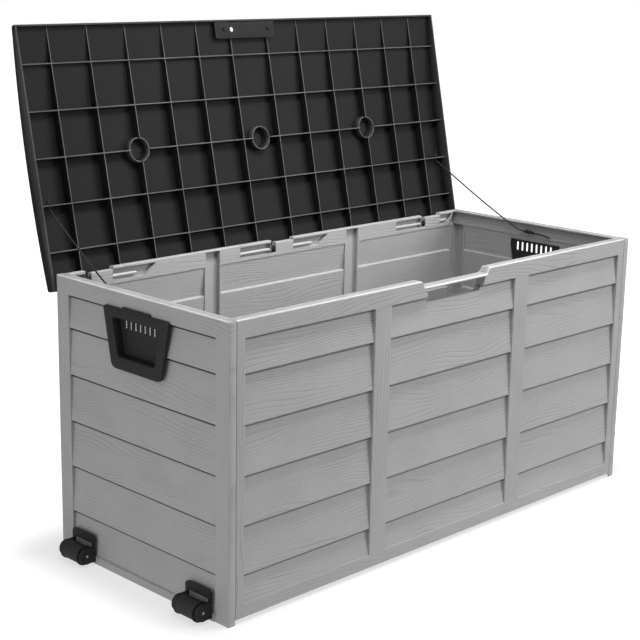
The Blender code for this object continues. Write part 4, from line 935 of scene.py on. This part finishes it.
def plateShell(plan):
    # rings carried from the rounded outline inwards to the round hole, over the face, down the hole and back
    left, right, near, far, r = plan["left"], plan["right"], plan["near"], plan["far"], plan["corner"]
    centre = np.array([plan["holeX"], plan["holeY"]])

    def outline(draw):
        # where a ray from the hole's middle meets the rectangle, with the two far corners cut round
        low, high = np.array([left + draw, near + draw]) - centre, np.array([right - draw, far - draw]) - centre
        reach = np.min(np.where(hole > 1e-9, high / np.maximum(hole, 1e-9),
                                np.where(hole < -1e-9, low / np.minimum(hole, -1e-9), 9.0)), axis=1)
        points = centre + hole * reach[:, None]
        for cornerX in (left + draw + r, right - draw - r):
            pivot = np.array([cornerX, far - draw - r])
            away = points - pivot
            past = (np.sign(cornerX - (left + right) / 2) * away[:, 0] > 0) & (away[:, 1] > 0)
            long = np.linalg.norm(away, axis=1, keepdims=True)
            points = np.where(past[:, None], pivot + away / np.maximum(long, 1e-9) * np.minimum(long, r), points)
        return points

    low, high, edge, bore = plan["low"], plan["high"], plan["edge"], plan["holeRadius"]
    marks = [(x, y) for x in (left, right) for y in (near, far, far - 0.3 * r, far - r)]
    marks += [(x, far) for x in (left + r, left + 0.3 * r, right - r, right - 0.3 * r)]
    marks = np.array(marks) - centre
    turn = np.linspace(0, 2 * math.pi, 64, endpoint=False)
    bend = np.unique(np.append(turn, np.arctan2(marks[:, 1], marks[:, 0]) % (2 * math.pi)))
    hole = np.stack([np.cos(bend), np.sin(bend)], -1)
    rows = [(outline(0), high - edge), (outline(0), low + edge), (outline(edge * 0.3), low + edge * 0.3), (outline(edge), low),
            (centre + hole * (bore + 0.0012), low), (centre + hole * (bore + 0.0002), low + 0.0002), (centre + hole * bore, low + 0.0008),
            (centre + hole * bore, high), (outline(edge), high)]
    points = np.stack([np.concatenate([place, np.full((len(place), 1), z)], 1) for place, z in rows])
    # painted highlight: the plate's rounded edges and the rim of its hole are marked for lightening
    tip = np.repeat(np.array([0.4, 0.6, 0.8, 0.05, 0.05, 0.4, 0.3, 0, 0])[:, None], points.shape[1], 1)
    return shell(points, gridQuads(len(rows), points.shape[1], True, True), tip=tip.ravel())


def screwShell(plan, x):
    # a pan head and its shank, turned about their own line
    low, r, h = plan["low"] - 0.0003, plan["headRadius"], plan["head"]
    head = [(0.00002, low - h), (r * 0.45, low - h), (r * 0.8, low - h * 0.8), (r, low - h * 0.3), (r, low), (0.0016, low),
            (0.0016, plan["high"] + 0.0015), (0.00002, plan["high"] + 0.0015)]
    return turnedRing(head, "Z", (x, plan["holeY"], 0), 40)


makePiece("padlockPlate", [openedShell(plateShell(platePlan))], charcoalResin, "lid", ["latch_plate"])
for screwName, screwX in zip(("left", "right"), platePlan["screws"]):
    makePiece(screwName + "PlateScrew", [openedShell(screwShell(platePlan, screwX))], charcoalResin, "lid",
              [screwName + "_latch_screw"])


# Handle inserts.
def roundedOutline(corners, radii, steps=6):
    # each corner of the polygon becomes an arc of its own radius, with the same number of points
    corners = [Vector(corner) for corner in corners]
    points = []
    for index, (here, radius) in enumerate(zip(corners, radii)):
        back, ahead = (corners[index - 1] - here).normalized(), (corners[(index + 1) % len(corners)] - here).normalized()
        half = math.acos(max(-1.0, min(1.0, back.dot(ahead)))) / 2
        centre = here + (back + ahead).normalized() * radius / math.sin(half)
        first, last = here + back * radius / math.tan(half) - centre, here + ahead * radius / math.tan(half) - centre
        for k in range(steps + 1):
            points.append(tuple(centre + first.lerp(last, k / steps).normalized() * radius))
    return np.array(points)


def trapezoid(topHalf, footHalf, top, foot, radii, grow=0.0):
    corners = [(-topHalf - grow, top + grow), (-footHalf - grow, foot - grow), (footHalf + grow, foot - grow), (topHalf + grow, top + grow)]
    return roundedOutline(corners, [max(0.0008, radius + grow) for radius in radii])


def handleShells(plan, carry):
    def bezel(grow):
        return trapezoid(plan["topHalf"], plan["footHalf"], plan["top"], plan["top"] - plan["height"], (0.005, 0.014, 0.014, 0.005), grow)

    def cup(grow):
        return trapezoid(plan["cupTopHalf"], plan["cupFootHalf"], plan["cupTop"], plan["cupTop"] - plan["cupHeight"],
                         (0.005, 0.005, 0.005, 0.005), grow)

    # closed profile from the bezel's back, over its rounded face, down the cup and back behind it
    rows = [(bezel(0), -0.0003), (bezel(0), -0.0042), (bezel(-0.0005), -0.0055), (bezel(-0.0016), -0.0063), (bezel(-0.003), -0.0065),
            (cup(0.0035), -0.0065), (cup(0.0015), -0.0062), (cup(0.0004), -0.0052), (cup(0), -0.0038), (cup(-0.0006), 0.0098),
            (cup(-0.0006), plan["cupDepth"]),
            (cup(plan["wall"] - 0.0006), plan["cupDepth"]), (cup(plan["wall"]), plan["cupDepth"] - 0.0006), (cup(plan["wall"]), -0.0003)]
    points = np.stack([carry(outline[:, 0], np.full(len(outline), depth), outline[:, 1]) for outline, depth in rows])
    parts = [shell(points, gridQuads(len(rows), points.shape[1], True, True))]
    parts.append(slottedFloor(plan, carry))
    lip = roundedBlock((-plan["lipHalf"], -plan["proud"] + 0.0008, plan["top"] - 0.002),
                       (plan["lipHalf"], -0.0003, plan["top"] + plan["lipRise"]), 0.0018)
    lip["points"] = carry(lip["points"][:, 0], lip["points"][:, 1], lip["points"][:, 2])
    parts.append(lip)
    return parts


def slottedFloor(plan, carry):
    # the cup's back: a thin plate as a grid that follows the trapezoid, with its slots left out
    middles = [plan["pitch"] * (k - (plan["slots"] - 1) / 2) for k in range(plan["slots"])]
    edges = [middle + side * plan["slotWidth"] / 2 for middle in middles for side in (-1, 1)]
    half = plan["floorHalf"]
    u = evenLines(-half, half, 0.006, edges)
    top, foot = plan["cupTop"] + 0.0005, plan["cupTop"] - plan["cupHeight"] - 0.0005
    corner = [plan["slotLow"] + 0.0008, plan["slotLow"] + 0.002, plan["slotHigh"] - 0.0008, plan["slotHigh"] - 0.002]
    z = evenLines(foot, top, 0.006, [plan["slotLow"], plan["slotHigh"]] + corner)
    grid, up = np.meshgrid(u, z, indexing="ij")
    width = np.interp(up, [foot, top], [plan["cupFootHalf"], plan["cupTopHalf"]])
    squeeze = np.interp(np.abs(grid), [0.0480, half], [0, 1])
    place = grid + np.sign(grid) * squeeze * (width - half)
    narrow = np.interp(up, [plan["slotLow"], plan["slotLow"] + 0.002, plan["slotHigh"] - 0.002, plan["slotHigh"]], [0.0013, 0, 0, 0.0013])
    for middle in middles:
        near = np.abs(np.abs(grid - middle) - plan["slotWidth"] / 2) < onLine
        round1 = near & (up >= plan["slotLow"] - 1e-6) & (up <= plan["slotHigh"] + 1e-6)
        place = np.where(round1, place - np.sign(grid - middle) * narrow, place)
    n, m = len(u), len(z)
    front = carry(place, np.full(grid.shape, plan["floorFront"]), up)
    back = carry(place, np.full(grid.shape, plan["floorBack"]), up)
    points = np.concatenate([front.reshape(-1, 3), back.reshape(-1, 3)])
    keep = np.ones((n - 1, m - 1), bool)
    rings = [ringAround(0, n - 1, 0, m - 1)]
    j0, j1 = (nearestLine(z, plan[key]) for key in ("slotLow", "slotHigh"))
    for middle in middles:
        i0, i1 = (nearestLine(u, middle + side * plan["slotWidth"] / 2) for side in (-1, 1))
        keep[i0:i1, j0:j1] = False
        around = ringAround(i0, i1, j0, j1)
        rings.append([around[0]] + around[:0:-1])
    quads = gridQuads(n, m).reshape(n - 1, m - 1, 4)[keep]
    faces = [quads[:, ::-1], quads + n * m]
    for ring in rings:
        index = np.array([i * m + j for i, j in ring])
        faces.append(bridgeRings(index, index + n * m))
    return shell(points, np.concatenate(faces))


for handleName, handleSide in (("left", -1), ("right", 1)):
    handleParts = handleShells(handlePlan, endWall(wallPlan, handlePlan, handleSide)["carry"])
    makePiece(handleName + "HandleInsert", handleParts, blackResin, "box", [handleName + "_handle"])


# Rollers.
rollerPlan = {"out": 0.0205, "y": 0.160, "radius": 0.0185, "length": 0.050, "lift": 0.001, "bore": 0.0029}


def rollerShell(plan, side):
    # a barrel with raised end rims and hollow ends, lightly fluted along its length
    half, r = plan["length"] / 2, plan["radius"]
    barrel = r - 0.0012
    one = [(plan["bore"], 0.0), (plan["bore"], half - 0.0006), (0.0055, half - 0.0006), (0.0060, half - 0.0012),
           (0.0060, half - 0.0040), (0.0138, half - 0.0040),
           (0.0142, half - 0.0035), (0.0142, half - 0.0008), (0.0148, half - 0.0003), (r - 0.0008, half - 0.0003),
           (r, half - 0.0011), (r, half - 0.0027),
           (r - 0.0004, half - 0.0032), (barrel, half - 0.0036), (barrel, half * 0.5)]
    profile = one + [(barrel, 0.0)] + [(radius, -along) for radius, along in one[:0:-1]]
    flute = lambda angle, along: 1 - 0.022 * np.clip(np.cos(14 * angle), 0.55, 1) * (np.abs(along) < half - 0.0045)
    place = (-wallPlan["halfLength"] - plan["out"], side * plan["y"], r + plan["lift"])
    profile = np.array(profile)
    rippled = lambda angle, along: np.where(np.repeat(profile[None, :, 0], len(angle), 0) > 0.0165, flute(angle, along), 1.0)
    return turnedRing(profile, "Y", place, 112, rippled)


for wheelName, wheelSide in (("front", -1), ("rear", 1)):
    makePiece(wheelName + "Roller", [rollerShell(rollerPlan, wheelSide)], rollerResin, wheelName + "_wheel",
              [wheelName + "_wheel"])
print("deck box: handles and rollers made")


# Stay cords and their knots.
cordPlan = {"radius": 0.0015, "inset": 0.0225, "rise": 0.0072, "knotHalf": 0.012, "leftKnotY": 0.062, "rightKnotY": 0.012,
            "knotDrop": 0.0205, "knot": 0.0034,
            "loop": 0.0075, "standoff": 0.0008, "tail": 0.042}


def knotPlace(plan, side):
    return plan["leftKnotY"] if side < 0 else plan["rightKnotY"]


def cordRoute(plan, side):
    hole = np.array([side * (wallPlan["halfLength"] - plan["inset"]), lidPlan["mid"] + lidPlan["longPitch"], lidPlan["tip"] + plan["rise"]])
    away = lidPlan["rib"] / 2 + 0.002
    start = openLid(hole - np.array([0, away - 0.0035, 0]))
    below = openLid(hole + np.array([0, away + 0.004, -0.001]))
    end = np.array([side * (wallPlan["halfLength"] - wallPlan["innerPlane"] - plan["standoff"] - plan["knot"]),
                    knotPlace(plan, side) + plan["knotHalf"] + wallPlan["gap"], wallPlan["height"] - plan["knotDrop"]])
    turn = np.array([below[0], end[1] + 0.020, end[2] + 0.0065])
    route = [start, below]
    for share, sag in ((0.12, 0.001), (0.3, 0.002), (0.5, 0.003), (0.75, 0.0025)):
        route.append(below + (turn - below) * share - np.array([0, 0, sag]))
    return smoothPath(route + [turn, end + np.array([-side * 0.0012, 0.008, 0.0012]), end], 60)


def lowerKnot(plan, side):
    # two strands wound round each other like a screw thread, a loop into the rail and a loose tail
    face = wallPlan["halfLength"] - wallPlan["innerPlane"]
    middle, z = knotPlace(plan, side), wallPlan["height"] - plan["knotDrop"]
    x = side * (face - plan["standoff"] - plan["knot"])
    t = np.linspace(-1, 1, 90)
    parts = []
    for phase in (0, math.pi):
        swell = 0.0016 + 0.0005 * np.cos(t * math.pi * 0.9)
        turn = t * 3.2 * math.pi + phase
        parts.append(tubeAlong(np.stack([x + swell * np.cos(turn), middle + plan["knotHalf"] * t, z + swell * np.sin(turn)],
                                        -1), 0.0015, 10, (1, 0, 0.2)))
    angle = math.pi * np.linspace(-0.1, 1.1, 30)
    loop = np.stack([side * (face - 0.0015 + plan["loop"] * np.sin(angle)), middle + plan["loop"] * np.cos(angle), np.full(30, z)], -1)
    parts.append(tubeAlong(loop, plan["radius"], 10))
    low = middle - plan["knotHalf"]
    tail = smoothPath([(x, low + 0.002, z - 0.0012), (x, low - plan["tail"] / 2, z - 0.0018),
                       (x + side * 0.001, low - plan["tail"], z - 0.006)], 24)
    parts.append(tubeAlong(tail, plan["radius"], 10, (1, 0, 0.2)))
    for reach, rise in ((0.006, 0.0045), (0.0045, 0.006), (0.003, 0.0035)):
        stray = smoothPath([(x, middle + 0.002, z + 0.001), (x - side * 0.001, middle + reach, z + rise * 0.7),
                            (x, middle + reach * 1.5, z + rise)], 8)
        parts.append(tubeAlong(stray, 0.0005, 6, (1, 0, 0.2)))
    return parts


def upperKnot(plan, side):
    # an overhand knot: a trefoil line drawn out along the cord
    hole = np.array([side * (wallPlan["halfLength"] - plan["inset"]), lidPlan["mid"] + lidPlan["longPitch"], lidPlan["tip"] + plan["rise"]])
    near = hole + np.array([0, -lidPlan["rib"] / 2 - 0.0006, 0])
    t = np.linspace(0, 2 * math.pi, 80)
    knot = np.stack([near[0] + 0.00095 * (np.sin(t) + 2 * np.sin(2 * t)), near[1] - 0.0052 + 0.0011 * (np.cos(t) - 2 * np.cos(2 * t)),
                     near[2] - 0.0011 * np.sin(3 * t)], -1)
    stub = smoothPath([near + np.array([0, -0.0015, 0]), near + np.array([0, -0.006, 0.0004]),
                       near + np.array([0.001, -0.0115, -0.0008])], 10)
    return [openedShell(tubeAlong(knot, 0.0014, 10, (0.1, 0.2, 1))), openedShell(tubeAlong(stub, 0.0014, 10, (0, 0, 1)))]


for cordName, cordSide in (("left", -1), ("right", 1)):
    path = cordRoute(cordPlan, cordSide)
    stay = makePiece(cordName + "StayCord", [tubeAlong(path, cordPlan["radius"], 12, (1, 0, 0))], braidedCord, None,
                     [cordName + "_stay_cord"])
    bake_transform(stay)
    makePiece(cordName + "LowerKnot", lowerKnot(cordPlan, cordSide), braidedCord, "box", [cordName + "_cord_lower_knot"])
    makePiece(cordName + "UpperKnot", upperKnot(cordPlan, cordSide), braidedCord, "lid", [cordName + "_cord_upper_knot"])


# Nodes whose shape is already right only take a finish.
finishes = {"base_panel": greyResin, "left_hinge_pin": zincSteel, "centre_hinge_pin": zincSteel, "right_hinge_pin": zincSteel,
            "front_wheel_bracket": blackResin,
            "rear_wheel_bracket": blackResin, "front_wheel_axle": zincSteel, "rear_wheel_axle": zincSteel}
for nodeName, finish in finishes.items():
    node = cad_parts[nodeName]
    node.data.materials.clear()
    node.data.materials.append(finish)
print("deck box: finishes given")


# Floor, lights and background.
stagePlan = {"floorHalf": 14.0, "floorNear": 0.62, "floorFar": 1.05, "floorReach": 0.17, "footprint": (0.57, 0.2315),
             "floorBounce": 0.32, "ambient": 0.28}
lampPlan = {"keySoftbox": {"direction": (0.75, -1.0, 0.62), "distance": 3.2, "size": 1.9, "energy": 60.0, "target": (0.45, 0, 0.3)},
            "sideSoftbox": {"direction": (-1.0, 0.15, 0.75), "distance": 4.0, "size": 1.2, "energy": 10.0},
            "lowSoftbox": {"direction": (-1.0, -0.12, 0.03), "distance": 1.5, "size": 0.9, "energy": 6.2, "target": (-0.55, 0, 0.25)},
            "overheadSoftbox": {"direction": (0.0, -0.42, 1.0), "distance": 1.35, "size": 1.3, "energy": 8.0, "target": (0.0, 0.16, 0.35),
                                "depth": 0.35, "spread": 100.0}}


def buildStage(plan):
    half = plan["floorHalf"]
    mesh = bpy.data.meshes.new("studioFloor")
    mesh.from_pydata([(-half, -half, 0), (half, -half, 0), (half, half, 0), (-half, half, 0)], [], [(0, 1, 2, 3)])
    made, tree, shader = startMaterial("studioFloor", 0.9)
    shader.inputs["Base Color"].default_value = (0.34, 0.34, 0.34, 1.0)
    shader.inputs["Emission Color"].default_value = (1.0, 1.0, 1.0, 1.0)
    seen = tree.nodes.new("ShaderNodeLightPath")
    # glow seen by the camera rises with the distance from the box's foot, so the far floor is as white as the backdrop
    spot = addNode(tree, "ShaderNodeTexCoord")
    split = addNode(tree, "ShaderNodeSeparateXYZ", [(0, spot.outputs["Object"])])
    away = [maths(tree, "MAXIMUM", maths(tree, "SUBTRACT", maths(tree, "ABSOLUTE", split.outputs[k]), plan["footprint"][k]),
                  0.0) for k in (0, 1)]
    far = maths(tree, "SQRT", maths(tree, "ADD", maths(tree, "MULTIPLY", away[0], away[0]), maths(tree, "MULTIPLY", away[1], away[1])))
    level = addNode(tree, "ShaderNodeMapRange", [(0, far)], in_2=plan["floorReach"], in_3=plan["floorNear"], in_4=plan["floorFar"])
    level.interpolation_type = "SMOOTHSTEP"
    glow = tree.nodes.new("ShaderNodeMapRange")
    glow.inputs[3].default_value = plan["floorBounce"]
    tree.links.new(level.outputs[0], glow.inputs[4])
    tree.links.new(seen.outputs["Is Camera Ray"], glow.inputs[0])
    tree.links.new(glow.outputs[0], shader.inputs["Emission Strength"])
    mesh.materials.append(made)
    floor = bpy.data.objects.new("studioFloor", mesh)
    bpy.context.scene.collection.objects.link(floor)


def buildWorld(plan):
    world = bpy.data.worlds.new("studioWhite")
    bpy.context.scene.world = world
    world.use_nodes = True
    tree = world.node_tree
    back = tree.nodes["Background"]
    back.inputs["Color"].default_value = (1.0, 1.0, 1.0, 1.0)
    seen = tree.nodes.new("ShaderNodeLightPath")
    level = tree.nodes.new("ShaderNodeMapRange")
    level.inputs[3].default_value = plan["ambient"]
    level.inputs[4].default_value = 1.0
    tree.links.new(seen.outputs["Is Camera Ray"], level.inputs[0])
    tree.links.new(level.outputs[0], back.inputs["Strength"])


def addLight(name, direction, distance, size, energy, target=(0, 0, 0.3), depth=None, spread=180.0):
    lamp = bpy.data.lights.new(name, "AREA")
    lamp.shape = "RECTANGLE" if depth else "DISK"
    lamp.size = size
    lamp.size_y = depth or size
    lamp.spread = math.radians(spread)
    lamp.energy = energy
    holder = bpy.data.objects.new(name, lamp)
    away = Vector(direction).normalized()
    holder.location = Vector(target) + away * distance
    holder.rotation_euler = (-away).to_track_quat("-Z", "Y").to_euler()
    bpy.context.scene.collection.objects.link(holder)


buildStage(stagePlan)
buildWorld(stagePlan)
for lampName, lamp in lampPlan.items():
    addLight(lampName, **lamp)
print("deck box: stage lit")
